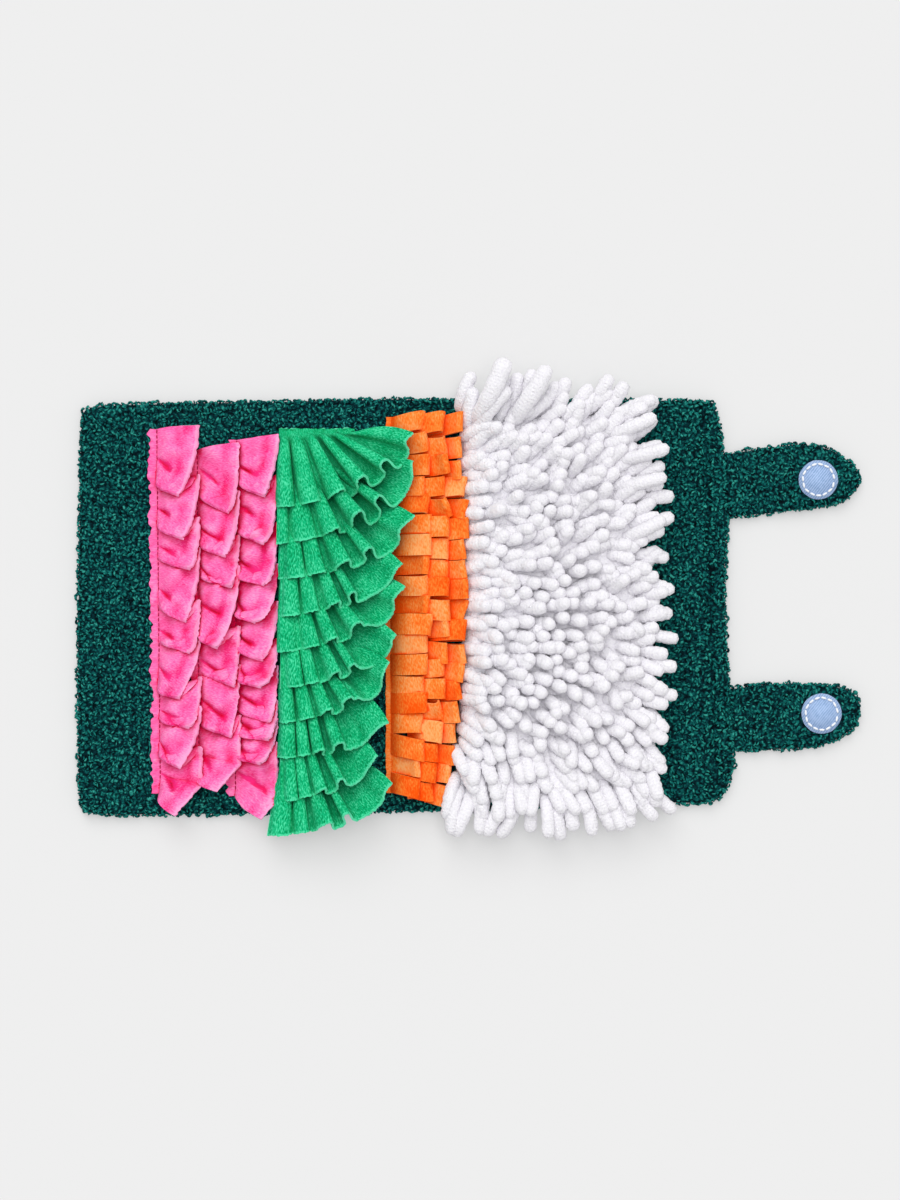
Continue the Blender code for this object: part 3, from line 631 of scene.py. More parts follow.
def open_edges(bm):
    """The edges round the open rim of a shape."""
    return [edge for edge in bm.edges if edge.is_boundary]


def grow_rim(bm, edges):
    """Extrudes a rim's edges; (edges, corners) of the new rim, which still lies on the old one."""
    grown = bmesh.ops.extrude_edge_only(bm, edges=edges)["geom"]
    corners = [item for item in grown if isinstance(item, bmesh.types.BMVert)]
    return [item for item in grown if isinstance(item, bmesh.types.BMEdge) and item.is_boundary], corners


def close_below(bm):
    """Closes the open rim with a flat underside and turns the faces outwards."""
    bmesh.ops.holes_fill(bm, edges=open_edges(bm), sides=0)
    bmesh.ops.recalc_face_normals(bm, faces=bm.faces)


def line_length(line):
    """Length of a line of points."""
    return sum((after - here).length for here, after in zip(line, line[1:]))


def cloth_mesh(name, lines, tones=0.0, edge_fibres_and_light=0.0):
    """(mesh, length) of a sheet through lines of points in mm; a ruffle's last line is its free edge.

    Its UV map lays it flat and its length is the mean of its lines'. Tones lighten or darken it, as one value
    or as one for each point, and hold painted light and shade; the edge's lightening, partly paler cut fibres
    and partly painted light, is added along the last two lines."""
    rows, columns = len(lines), len(lines[0])
    along = [0.0]
    for here, after in zip(lines[-1], lines[-1][1:]):
        along.append(along[-1] + (after - here).length)
    across = [0.0]
    for here, after in zip(lines, lines[1:]):
        across.append(across[-1] + (after[columns // 2] - here[columns // 2]).length)
    bm = bmesh.new()
    cloth = bm.loops.layers.uv.new("cloth")
    toned = bm.verts.layers.float.new("tone")
    bmesh.ops.create_grid(bm, x_segments=columns - 1, y_segments=rows - 1, size=1.0)
    flat = {}
    for vert in bm.verts:
        column = round((vert.co.x + 1) / 2 * (columns - 1))
        row = round((vert.co.y + 1) / 2 * (rows - 1))
        flat[vert] = Vector((across[row], along[column])) * MM
        vert.co = (lines[row][column] + SHIFT) * MM
        vert[toned] = tones[row][column] if isinstance(tones, list) else tones
        if row >= rows - 2:
            vert[toned] += edge_fibres_and_light
    for face in bm.faces:
        for loop in face.loops:
            loop[cloth].uv = flat[loop.vert]
    return mesh_from(bm, name), sum(line_length(line) for line in lines) / rows


def join_meshes(name, meshes):
    """One mesh of several, which are removed."""
    bm = bmesh.new()
    for mesh in meshes:
        bm.from_mesh(mesh)
        bpy.data.meshes.remove(mesh)
    return mesh_from(bm, name)


def thicken(piece):
    """Gives a fleece sheet its thickness, with crisp cut edges in their own material."""
    wall = piece.modifiers.new("thickness", "SOLIDIFY")
    wall.thickness = FLEECE * MM
    wall.offset = 0
    wall.material_offset_rim = 1
    graph = bpy.context.evaluated_depsgraph_get()
    piece.data = bpy.data.meshes.new_from_object(piece.evaluated_get(graph))
    piece.modifiers.clear()
    piece.data.set_sharp_from_angle(angle=math.radians(55))


def joined(name, pattern_faces, places, attribute, values):
    """One mesh of many copies of a pattern, from the corners of each in mm and a value for each corner."""
    copies, size = places.shape[:2]
    faces = [[corner + copy * size for corner in face] for copy in range(copies) for face in pattern_faces]
    mesh = bpy.data.meshes.new(name)
    mesh.from_pydata((places.reshape(-1, 3) + np.array(SHIFT)) * MM, [], faces)
    mesh.attributes.new(attribute, "FLOAT", "POINT").data.foreach_set("value", values.reshape(-1))
    return mesh


def capsule_pattern(sides, rings):
    """Faces of a tube with closed ends, and for each corner its share along it and its turn."""
    bm = bmesh.new()
    bmesh.ops.create_uvsphere(bm, u_segments=sides, v_segments=rings, radius=1.0)
    along = np.array([math.acos(max(-1.0, min(1.0, -vert.co.z))) / math.pi for vert in bm.verts])
    turns = np.array([math.atan2(vert.co.y, vert.co.x) for vert in bm.verts])
    faces = [[vert.index for vert in face.verts] for face in bm.faces]
    bm.free()
    return faces, along, turns


def uneven(number, column, size):
    """A fixed spread of sizes from tab to tab and column to column."""
    fast, across, slow = UNEVEN_TURNS
    return size * math.sin(fast * number + across * column) * math.cos(slow * number + column)


def between(table, share):
    """Values of a table of (share, *values), worked out between its rows; values may be tuples."""
    for (start, *before), (end, *after) in zip(table, table[1:]):
        if share <= end:
            part = max(0.0, (share - start) / (end - start))
            return [tuple(a + (b - a) * part for a, b in zip(x, y)) if isinstance(x, tuple)
                    else x + (y - x) * part for x, y in zip(before, after)]
    return list(table[-1][1:])


def wander(point, size, scale, seed=0):
    """Slow unevenness of hand-sewn cloth, up to about this size over this scale in mm."""
    return noise.noise(point / scale + Vector([seed * step for step in SEED_STEPS])) * size


def seam_x(y):
    """x of the mat's seam beside its turned edge, at this y."""
    for (x0, y0), (x1, y1) in zip(SEAM_ROUTE, SEAM_ROUTE[1:]):
        if y >= y1:
            return x0 + (x1 - x0) * (y0 - y) / (y0 - y1)
    return SEAM_ROUTE[-1][0]


def node_tree_of(node_name):
    """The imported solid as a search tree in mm."""
    solid = bpy.data.objects[node_name]
    points = [vert.co / MM for vert in solid.data.vertices]
    faces = [tuple(face.vertices) for face in solid.data.polygons]
    return BVHTree.FromPolygons(points, faces)


class Patchwork:
    """A four-sided patch stretched inside a solid's outline, in mm."""

    def __init__(self, node_name, inset, height, steps):
        low, high = (Vector(corner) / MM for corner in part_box(node_name))
        left, right, near, far = low.x + inset, high.x - inset, low.y + inset, high.y - inset
        corners = [Vector((x, y, 0)) for x, y in ((left, near), (right, near), (right, far), (left, far))]
        self.tree = node_tree_of(node_name)
        self.centre = sum(corners, Vector((0, 0, 0))) / 4
        self.height = height
        self.bottom = self.side(corners[0], corners[1], steps)
        self.top = self.side(corners[3], corners[2], steps)
        self.left = self.side(corners[0], corners[3], steps)
        self.right = self.side(corners[1], corners[2], steps)

    def side(self, start, end, steps):
        """Points where rays from the centre towards this side leave the solid."""
        points = []
        for k in range(steps + 1):
            towards = start.lerp(end, k / steps) - self.centre
            away = Vector((towards.x, towards.y, 0)).normalized()
            far = self.centre + away * RAY_OUT + UP * self.height
            hit = self.tree.ray_cast(far, -away)[0]
            points.append(Vector((hit.x, hit.y, 0)))
        return points

    @staticmethod
    def along(side, share):
        """The place at this share of a side."""
        place = share * (len(side) - 1)
        index = min(int(place), len(side) - 2)
        return side[index].lerp(side[index + 1], place - index)

    def point(self, u, v):
        """The place on the patch at these shares of its width and height."""
        rows = self.along(self.bottom, u).lerp(self.along(self.top, u), v)
        columns = self.along(self.left, v).lerp(self.along(self.right, v), u)
        lower = self.bottom[0].lerp(self.bottom[-1], u)
        upper = self.top[0].lerp(self.top[-1], u)
        return rows + columns - lower.lerp(upper, v)

    def rim(self):
        """All points of the outline, anticlockwise."""
        return self.bottom + self.right + self.top[::-1] + self.left[::-1]


def curl_height(x, y):
    """Height of the curled pile between about -1 and 1: ridges that wind round each other."""
    place = Vector((x, y, 0))
    scale, reach = CURL_WIND
    bent = place + noise.noise_vector(place / scale) * reach
    return sum(share * (1 - RIDGE_SHARPNESS * abs(noise.noise(bent / width + RIDGE_SHIFT * number)))
               for number, (width, share) in enumerate(CURL_RIDGES))


def pile_tone(height):
    """Painted light and shade of the curled pile at this height of its curls, lighter where it is higher."""
    middle, half = PILE_SHADING
    return middle + half * height


def no_groove(flat):
    """The depth of the groove in a slab that has none."""
    return 0.0


def sherpa_slab(name, patch, cells, top, groove=no_groove):
    """A slab of curled pile: a patch at its top, a rounded rim below it and a flat underside."""
    mean, half = SLAB_TOP
    fall, fall_cells = SLAB_FALL
    closer, shift, stand_out = SIDE_CURL
    noise.seed_set(WIND_SEED)  # noise_vector would follow the clock without it
    bm = bmesh.new()
    pile = bm.verts.layers.float.new("pile")
    bmesh.ops.create_grid(bm, x_segments=cells[0], y_segments=cells[1], size=1.0)
    middle = patch.centre
    for vert in bm.verts:
        u, v = (vert.co.x + 1) / 2, (vert.co.y + 1) / 2
        flat = patch.point(u, v)
        height = curl_height(flat.x, flat.y)
        # painted light and shade: the slab's pile is lighter where its curls are higher
        vert[pile] = pile_tone(height)
        near = grid_border(u, v, cells)
        rim = max(0.0, 1 - near / fall_cells) ** 2
        z = top + mean + half * height - fall * rim - groove(flat)
        inward = (middle - flat).normalized() * SLAB_INSET if near < 1 else Vector((0, 0, 0))
        vert.co = (flat + inward + UP * z) * MM
    edges = open_edges(bm)
    before = 0.0
    for out, drop in RIM_PROFILE:
        edges, corners = grow_rim(bm, edges)
        for vert in corners:
            flat = Vector((vert.co.x, vert.co.y, 0)) / MM
            away = (flat - middle).normalized()
            curl = curl_height(flat.x * closer + drop * shift, flat.y * closer - drop * shift)
            # painted light and shade by the height of the rim's curls
            vert[pile] = pile_tone(curl)
            level = max(0.0, top + drop * top / MAT_TOP)
            vert.co = (flat + away * (out - before + stand_out * curl) + UP * level) * MM
        before = out
    close_below(bm)
    return mesh_from(bm, name)


def grid_border(u, v, cells):
    """How many cells a place on a grid is from its border."""
    return min(u * cells[0], (1 - u) * cells[0], v * cells[1], (1 - v) * cells[1])


def mat_groove(flat):
    """Depth of the mat's groove beside its turned edge."""
    off = flat.x - SHIFT.x - seam_x(flat.y - SHIFT.y)
    return SEAM_DEPTH * math.exp(-(off / SEAM_WIDTH) ** 2)


def curl_pattern():
    """A short arched yarn: its faces, its corners, 1 long, and how high each is."""
    faces, along, turns = capsule_pattern(3, 6)
    sweep = (along - 0.5) * CURL_ARCH
    fat = CURL_YARN * np.sin(np.pi * np.clip(along, *CURL_ENDS)) ** CURL_BLUNT
    fat[(along < 0.01) | (along > 0.99)] = 0.0
    ring = CURL_RING + fat * np.cos(turns)
    corners = np.stack([ring * np.sin(sweep), fat * np.sin(turns), ring * np.cos(sweep)], axis=1)
    return faces, corners, np.clip(corners[:, 2] / (CURL_RING + CURL_YARN), 0, 1)


def make_curls(name, spots, chance):
    """Loose curls at spots of (place in the maker's mm, direction that the pile faces)."""
    size = bpy.context.scene.snuffle_sherpa.curl_size / MM
    faces, corners, heights = curl_pattern()
    foot_tone, lighter, spread = CURL_SHADE
    copies, shades = [], []
    for place, away in spots:
        spin = Matrix.Rotation(chance.uniform(0, 2 * math.pi), 3, "Z")
        tip = Matrix.Rotation(chance.gauss(0, CURL_TIP), 3, "X")
        turn = away.to_track_quat("Z", "Y").to_matrix() @ spin @ tip
        scale = size * chance.uniform(*CURL_SIZES)
        copies.append((corners * scale) @ np.array(turn).T + np.array(place))
        # painted light and shade: a curl is darker at its foot and lighter at its top, with a random tone of
        # its own
        shades.append(foot_tone + lighter * heights + chance.gauss(0, spread))
    mesh = joined(name, faces, np.array(copies), "pile", np.array(shades))
    finish_piece(name, mesh, [sherpa()], "sherpa_teal")


def top_spots(tree, zone, pitch, chance, skip):
    """Scattered spots on a solid's top inside a zone, but for places to skip."""
    x0, x1, y0, y1 = zone
    spots = []
    for x in np.arange(x0, x1, pitch):
        for y in np.arange(y0, y1, pitch):
            here = Vector((x + chance.uniform(-0.5, 0.5) * pitch, y + chance.uniform(-0.5, 0.5) * pitch,
                           RAY_START))
            hit = tree.ray_cast(here + SHIFT, -UP)[0]
            if hit is not None and not skip(here):
                spots.append((Vector((here.x, here.y, hit.z + chance.uniform(*CURL_SEAT))), UP))
    return spots


def rim_spots(patch, top, pitch, chance):
    """Scattered spots round a slab's rim, facing out and up."""
    rim = patch.rim()
    out, less = RIM_OUT
    clump_size, clump_scale = RIM_CLUMPS
    outward, upward = RIM_FACING
    spots = []
    run = 0.0
    for here, after in zip(rim, rim[1:]):
        run += (after - here).length
        while run > pitch:
            run -= pitch
            side = after - here
            if side.length < 1e-6:
                continue
            away = Vector((side.y, -side.x, 0)).normalized()
            height = chance.uniform(*RIM_PLACES)
            clump = clump_size * noise.noise(here / clump_scale)
            place = here + away * (out + clump - less * height ** 3) + UP * (top * height) - SHIFT
            spots.append((place, (away * (outward - height) + UP * height * upward).normalized()))
    return spots


def make_mat():
    """The mat, with loose curls on its bare stretches and round its rim."""
    inset, steps = MAT_PATCH
    patch = Patchwork("mat_body", inset, MAT_TOP / 2, steps)
    mesh = sherpa_slab("mat", patch, MAT_CELLS, MAT_TOP, mat_groove)
    finish_piece("sherpa_mat", mesh, [sherpa()], "sherpa_teal", "mat_body")
    chance = random.Random(3)
    pitch = bpy.context.scene.snuffle_sherpa.curl_spacing / MM
    for name, zones in BARE.items():
        spots = []
        for zone in zones:
            spots += top_spots(patch.tree, zone, pitch, chance,
                               lambda here: abs(here.x - seam_x(here.y)) < SEAM_BARE)
        make_curls(name, spots, chance)
    make_curls("sherpa_curls_rim", rim_spots(patch, MAT_TOP, pitch * RIM_PITCH, chance), chance)


def make_straps():
    """The two straps, with loose curls all over but under their tape patches."""
    pitch = bpy.context.scene.snuffle_sherpa.curl_spacing / MM
    inset, steps = STRAP_PATCH
    for name, patch_name in (("strap_upper", "patch_upper"), ("strap_lower", "patch_lower")):
        patch = Patchwork(name, inset, STRAP_TOP / 2, steps)
        mesh = sherpa_slab(name, patch, STRAP_CELLS, STRAP_TOP)
        finish_piece("sherpa_" + name, mesh, [sherpa()], "sherpa_teal", name)
        x, y, radius = PATCHES[patch_name]
        chance = random.Random(name)
        low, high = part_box(name)
        zone = (low[0] / MM, high[0] / MM, low[1] / MM, high[1] / MM)
        spots = top_spots(patch.tree, zone, pitch, chance,
                          lambda here: math.hypot(here.x - x, here.y - y) < radius + PATCH_BARE)
        spots += rim_spots(patch, STRAP_TOP, pitch * RIM_PITCH, chance)
        make_curls(f"sherpa_curls_{name}", spots, chance)


def pink_stations(shape, chance):
    """(stations, creases) of a column, from its top.

    A station is the y of the root, reach, y and lift of the free edge, roll out and down, and return. A
    crease is the y where it starts on the stitch line, its slope, reach and depth."""
    facet, back = PINK_SAMPLES
    out, down = PINK_ROLL
    stations, creases = [], []
    start = shape["stitch"][1]
    free_start = start + shape["rise"]
    for tip_y, tip_reach in shape["folds"]:
        last = tip_y == shape["folds"][-1][0]
        lip = tip_y + (shape["end_drop"] if last else chance.uniform(*PINK_DROP))
        lip_root = lip if last else start + (lip - start) * PINK_SHARE
        pointed = chance.uniform(*PINK_ROUND)
        corner_y = tip_y + (PINK_REACH - tip_reach) * PINK_CORNER
        for step in range(facet + 1):
            share = step / facet
            turn = share * math.pi / 2
            reach = tip_reach + (PINK_REACH - tip_reach) * max(0.0, math.cos(turn)) ** pointed
            free_y = free_start + (tip_y - free_start) * math.sin(turn)
            if last:
                early, late = min(1.0, share * 2), max(0.0, share * 2 - 1)
                reach = PINK_REACH + (tip_reach - PINK_REACH) * late
                free_y = free_start + (corner_y - free_start) * early + (tip_y - corner_y) * late
            stations.append((start + (lip_root - start) * share, reach, free_y,
                             PINK_TROUGH + (PINK_TIP_LIFT - PINK_TROUGH) * share, 0.0, 0.0, 0.0))
        creases.append((start + (lip - start) * chance.uniform(*CREASE_START),
                        *[usual * chance.uniform(*change) for usual, change in
                          zip((CREASE_SLOPE, CREASE_REACH, CREASE_DEPTH), CREASE_CHANGES)]))
        if last:
            return stations, creases
        for turn in (0.3, 0.6):
            stations.append((lip_root - 0.5 * turn, tip_reach, tip_y, PINK_TIP_LIFT,
                             out * math.sin(turn * math.pi), down * turn, 0.0))
        start, free_start = lip, tip_y + PINK_OVERLAP
        lip_root -= 0.5
        for step in range(back):
            share = step / back
            stations.append((lip_root + (lip - lip_root) * share,
                             tip_reach + (PINK_REACH - tip_reach) * share ** 0.8,
                             tip_y + PINK_OVERLAP * share,
                             PINK_TIP_LIFT + (PINK_TROUGH - PINK_TIP_LIFT) * share,
                             0.0, down * (1 - share), 1.0))


def crease_depth(creases, off, y):
    """Depth of the gathers' creases that run down from the stitch line, at a place off it."""
    steep, soft, softer = CREASE_SIDES
    total = 0.0
    for start, slope, reach, depth in creases:
        if 0 < off < reach:
            away = y - (start - off * slope)
            part = off / reach
            fade = math.sin(math.pi * part ** 1.2) ** 0.8
            width = soft + softer * part if away > 0 else steep
            total += depth * fade * math.exp(-(away / width) ** 2)
    return total


def flute(part, root_y, off, seed):
    """Lift of a facet beside its free edge, at this share of its width, with the hollow before it."""
    rise_from, rise = FLUTE_RISE
    middle, width, depth = FLUTE_HOLLOW
    lift = rise * (max(0.0, part - rise_from) / (1 - rise_from)) ** 2
    lift -= depth * math.exp(-((part - middle) / width) ** 2)
    return lift * (FLUTE_MEAN + wander(Vector((0, root_y, off * 0.4)), *PINK_FLUTES, seed + 3))


def pink_point(station, off, root, creases, seed):
    """(point, tone) of the sheet this far from its stitch line, in mm; the tone is painted light and shade
    from its relief.
    """
    root_y, reach, free_y, lift, roll_out, roll_down, back = station
    pull, pull_width = STITCH_PULL
    pulled = pull * math.exp(-(off / pull_width) ** 2)
    crinkle = wander(Vector((0, root_y, off * 0.6)), *PINK_CRINKLE, seed) * min(1.0, abs(off) / CRINKLE_IN)
    if off < 0:
        ragged = wander(Vector((0, root_y, 0)), *PINK_RAGGED, seed + 4) * -off / PINK_HEADER
        sideways, height, lifted = PINK_HEADER_LIE
        point = root + Vector((off + ragged, sideways * crinkle, height + lifted * crinkle - pulled))
        return point, CRINKLE_SHADING * crinkle
    part = off / PINK_WIDTH
    chord = math.sqrt(reach ** 2 + (free_y - root_y) ** 2 + lift ** 2)
    bow = chord * math.sqrt(BOW_FOR_SLACK * max(0.0, PINK_WIDTH / chord - 1)) * 4 * part * (1 - part)
    grown = min(1.0, part * ROLL_IN)
    point = root + Vector((reach * part - bow * lift / chord, (free_y - root_y) * part - roll_out * grown,
                           lift * part + bow * reach / chord - roll_down * grown - pulled))
    tone = 0.0
    if back == 0:
        crease = crease_depth(creases, off, point.y)
        fluted = flute(part, root_y, off, seed)
        point += UP * (fluted - crease)
        # painted light and shade: raised flutes lighter, creases darker
        tone = FLUTE_SHADING * fluted - CREASE_SHADING * crease / CREASE_DEPTH
    large, small = PINK_SWELLS
    swell = wander(point, *large, seed) * min(1.0, part * SWELL_IN) + wander(point, *small, seed + 2) * part
    # painted light and shade: swells lighter where high
    tone += SWELL_SHADING * swell
    point.y += wander(root, *PINK_BENDS, seed + 8) * part * (1 - part) * 2
    if part == 1:
        point += Vector((wander(point, *PINK_EDGE, seed + 6), 0, 0))
    point.z += math.exp(-part * CRINKLE_FADE) * crinkle * CRINKLE_LIFT + swell
    point.z = max(point.z, root.z + min(1.0, part * FLOOR_IN) * PINK_FLOOR)
    return point, tone


def pink_ruffle(name, shape, seed):
    """A gathered strip, from its lowest station up, and the stitches that hold it."""
    top_x, top_y, bottom_x = shape["stitch"]
    stations, creases = pink_stations(shape, random.Random(seed + 21))
    bottom_y = stations[-1][0]
    lines, tones = [], []
    for off in PINK_ACROSS:
        line = []
        for station in reversed(stations):
            share = (top_y - station[0]) / (top_y - bottom_y)
            root = Vector((top_x + (bottom_x - top_x) * share, station[0], SEWN_Z))
            line.append(pink_point(station, off, root, creases, seed))
        lines.append([point for point, _ in line])
        tones.append([tone for _, tone in line])
    mesh, length = cloth_mesh(name, lines, tones, EDGE_FIBRES_AND_LIGHT)
    piece = fleece_piece(name, "pink", mesh)
    seam = [Vector((top_x, top_y, SEAM_THREAD_Z)), Vector((bottom_x, bottom_y, SEAM_THREAD_Z))]
    make_stitches("thread_" + name, seam, *PINK_STITCH, thread("magenta"), "fleece_pink")


def make_stitches(name, route, length, radius, material, slot, gap=STITCH_GAP):
    """Running stitches of this length and half thickness along a route, a share of their length apart."""
    faces, along, turns = capsule_pattern(6, 5)
    runs = np.cumsum([0.0] + [(after - here).length for here, after in zip(route, route[1:])])
    points = np.array(route)
    copies = []
    for first in np.arange(FIRST_STITCH, runs[-1] - length, length * (1 + gap)):
        start, end = (np.array([np.interp(run, runs, points[:, k]) for k in range(3)])
                      for run in (first, first + length))
        ahead = (end - start) / np.linalg.norm(end - start)
        side = np.cross(ahead, np.array(UP))
        fat = (radius * np.sin(np.pi * along) ** 0.25)[:, None]
        line = start + np.outer(along, end - start)
        copies.append(line + fat * (np.cos(turns)[:, None] * side + np.sin(turns)[:, None] * np.array(UP)))
    mesh = joined(name, faces, np.array(copies), "tone", np.zeros((len(copies), len(along))))
    finish_piece(name, mesh, [material], slot)


def green_profile(reach, seam_slope, edge_slope):
    """Places across a row as (share of the width, distance out, lift, slope) and the row's width there."""
    steps = PROFILE_STEPS
    slopes = [math.radians(seam_slope + (edge_slope - seam_slope) * (k / steps) ** 2.5)
              for k in range(steps + 1)]
    outs, lifts = [0.0], [0.0]
    for slope in slopes[:-1]:
        outs.append(outs[-1] + math.cos(slope) / steps)
        lifts.append(lifts[-1] + math.sin(slope) / steps)
    width = reach / outs[-1]
    places = []
    for part in GREEN_ACROSS:
        index = min(int(part * steps), steps - 1)
        rest = part * steps - index
        out = outs[index] + (outs[index + 1] - outs[index]) * rest
        lift = lifts[index] + (lifts[index + 1] - lifts[index]) * rest
        places.append((part, out * width, lift * width, slopes[index]))
    return places, width


def green_pleat(number, share, folds, phase, fullness):
    """(half height, crest, overhang, lean, angle) of the pleats at this share of a row."""
    lower = min(1.0, (number - 1) / LOWER_ROWS)
    first, others, often = GREEN_PANEL
    panel = first + (others - first) * lower
    half, crest, overhang, lean = between(GREEN_PLEATS, share)
    half *= 1 + wander(Vector((share * folds, 0, 0)), *GREEN_UNEVEN, number + 20)
    half *= 1 + (fullness - 1) * max(0.0, 1 - share * FULL_FADE)
    half *= 1 - (1 - GREEN_CALM) * lower * min(1.0, share * 2)
    late = max(0.0, share - panel)
    ahead = 1 - share - (1 - panel - late) * (1 - often)
    angle = 2 * math.pi * (phase - folds * ahead)
    drift, calm, pleats = GREEN_DRIFT
    angle += wander(Vector((share * folds, number * 2.7, 0)), drift - calm * late, pleats, number)
    return half, crest, overhang, lean, angle


def green_ruffle(number, row):
    """A pleated strip, line by line from its left end to its right, each from the seam to the free edge."""
    sewn_y, right_end, corner_x, corner_y, tip_x, tip_y, folds, phase, fullness = row
    left = Vector((GREEN_LEFT + uneven(number, 3, GREEN_LEFT_STRAY), sewn_y, GREEN_ROOT_Z))
    right = Vector((right_end, sewn_y, GREEN_ROOT_Z))
    corner = Vector((corner_x, corner_y, left.z)) - left
    tip = Vector((tip_x, tip_y, left.z)) - right
    start_turn, end_turn = math.atan2(corner.y, corner.x), math.atan2(tip.y, tip.x)
    pitch = ((corner + left) - (tip + right)).length / folds
    gather_end, gathered = GREEN_GATHER
    shifted, lifted, height = GREEN_HEADER_LIE
    columns, widths = [], []
    samples = round(folds * GREEN_SAMPLES)
    for k in range(samples + 1):
        share = k / samples
        turn = start_turn + (end_turn - start_turn) * (GREEN_TURN * share + (1 - GREEN_TURN) * share ** 2)
        out = Vector((math.cos(turn), math.sin(turn), 0))
        along = Vector((-out.y, out.x, 0))
        reach = corner.length + (tip.length - corner.length) * share
        places, width = green_profile(reach, *between(GREEN_SLOPES, share))
        widths.append(width)
        half, crest, overhang, lean, angle = green_pleat(number, share, folds, phase, fullness)
        bulge = GREEN_BULGE * max(0.0, share * BULGE_IN - BULGE_IN + 1) ** 2
        tuck = GREEN_TUCK * max(0.0, 1 - share * TUCK_FADE)
        root = left.lerp(right, share)
        column = []
        for step in range(GREEN_HEADER_LINES, 0, -1):
            crinkle = wander(Vector((share * folds * 3, step, 0)), *GREEN_CRINKLE, number)
            off = step / GREEN_HEADER_LINES * GREEN_HEADER
            column.append(root + Vector((0, off + shifted * crinkle, height + lifted * crinkle)))
        for part, distance, lift, slope in places:
            over = UP * math.cos(slope) - out * math.sin(slope)
            grown = gathered * min(1.0, part / gather_end) + (1 - gathered) * part ** 1.2
            local_pitch = pitch * (0.5 + 0.5 * part) / (2 * math.pi)
            sway = crest * math.sin(angle) + overhang * math.sin(2 * angle)
            sideways = local_pitch * sway * min(1, part * 5)
            point = root + out * distance + UP * lift + over * (half * grown * math.cos(angle))
            point += along * (sideways + lean * half * grown * math.cos(angle))
            point += along * (bulge * math.sin(math.pi * part))
            point += UP * (wander(point, *GREEN_SWELL, number) * part - tuck * min(1.0, part * 6))
            if part == 1:
                point += out * wander(point, *GREEN_EDGE, number + 9)
            column.append(point)
        columns.append(column)
    name = f"green_ruffle_{number:02d}"
    mesh, length = cloth_mesh(name, [list(line) for line in zip(*columns)], 0.0, EDGE_FIBRES_AND_LIGHT)
    piece = fleece_piece(name, "green", mesh)
    width = sum(widths) / len(widths) + GREEN_HEADER


def tab_reach(tab, number, reaches):
    """How far a tab of a column reaches out, by the reaches at the column's top, middle and bottom."""
    top, middle, bottom = reaches
    share = (tab + 0.5) / TABS
    return (top + (bottom - top) * share + (middle - (top + bottom) / 2) * 4 * share * (1 - share)
            + uneven(tab, number, UNEVEN[0]))


def tab_axis(reach, slopes, radius):
    """Side view of a tab that ends this far out: places along its middle, its turn at each, its length."""
    steps = TAB_STEPS
    turns = [math.atan(slopes[0] + (slopes[1] - slopes[0]) * (k / steps) ** 2) for k in range(steps + 1)]
    length = (reach - radius * math.sin(turns[-1])) / sum(math.cos(turn) for turn in turns[:-1]) * steps
    places = [Vector((0, 0))]
    for turn in turns[:-1]:
        places.append(places[-1] + Vector((math.cos(turn), math.sin(turn))) * (length / steps))
    return places, turns, length


def loop_line(length, radius, puff, samples):
    """Side view of a soft loop that lies flat, from the header out to its round fold and back."""
    root_x = HEADER_RIGHT - FLEECE
    start = Vector((root_x, FLEECE / 2))
    straight = length - HEADER_RIGHT - radius
    points = []
    for k in range(samples):
        share = k / samples
        points.append(start + Vector((straight * share, -TAB_SINK * math.sin(math.pi * share))))
    centre = start + Vector((straight, radius))
    for k in range(samples + 1):
        angle = math.pi * (k / samples - 0.5)
        points.append(centre + Vector((math.cos(angle), math.sin(angle))) * radius)
    back = centre + Vector((0, radius))
    end = Vector((root_x, HEADER_THICK + FLEECE / 2))
    for k in range(1, samples + 1):
        share = k / samples
        points.append(back.lerp(end, share) + Vector((0, puff * math.sin(math.pi * share))))
    return points


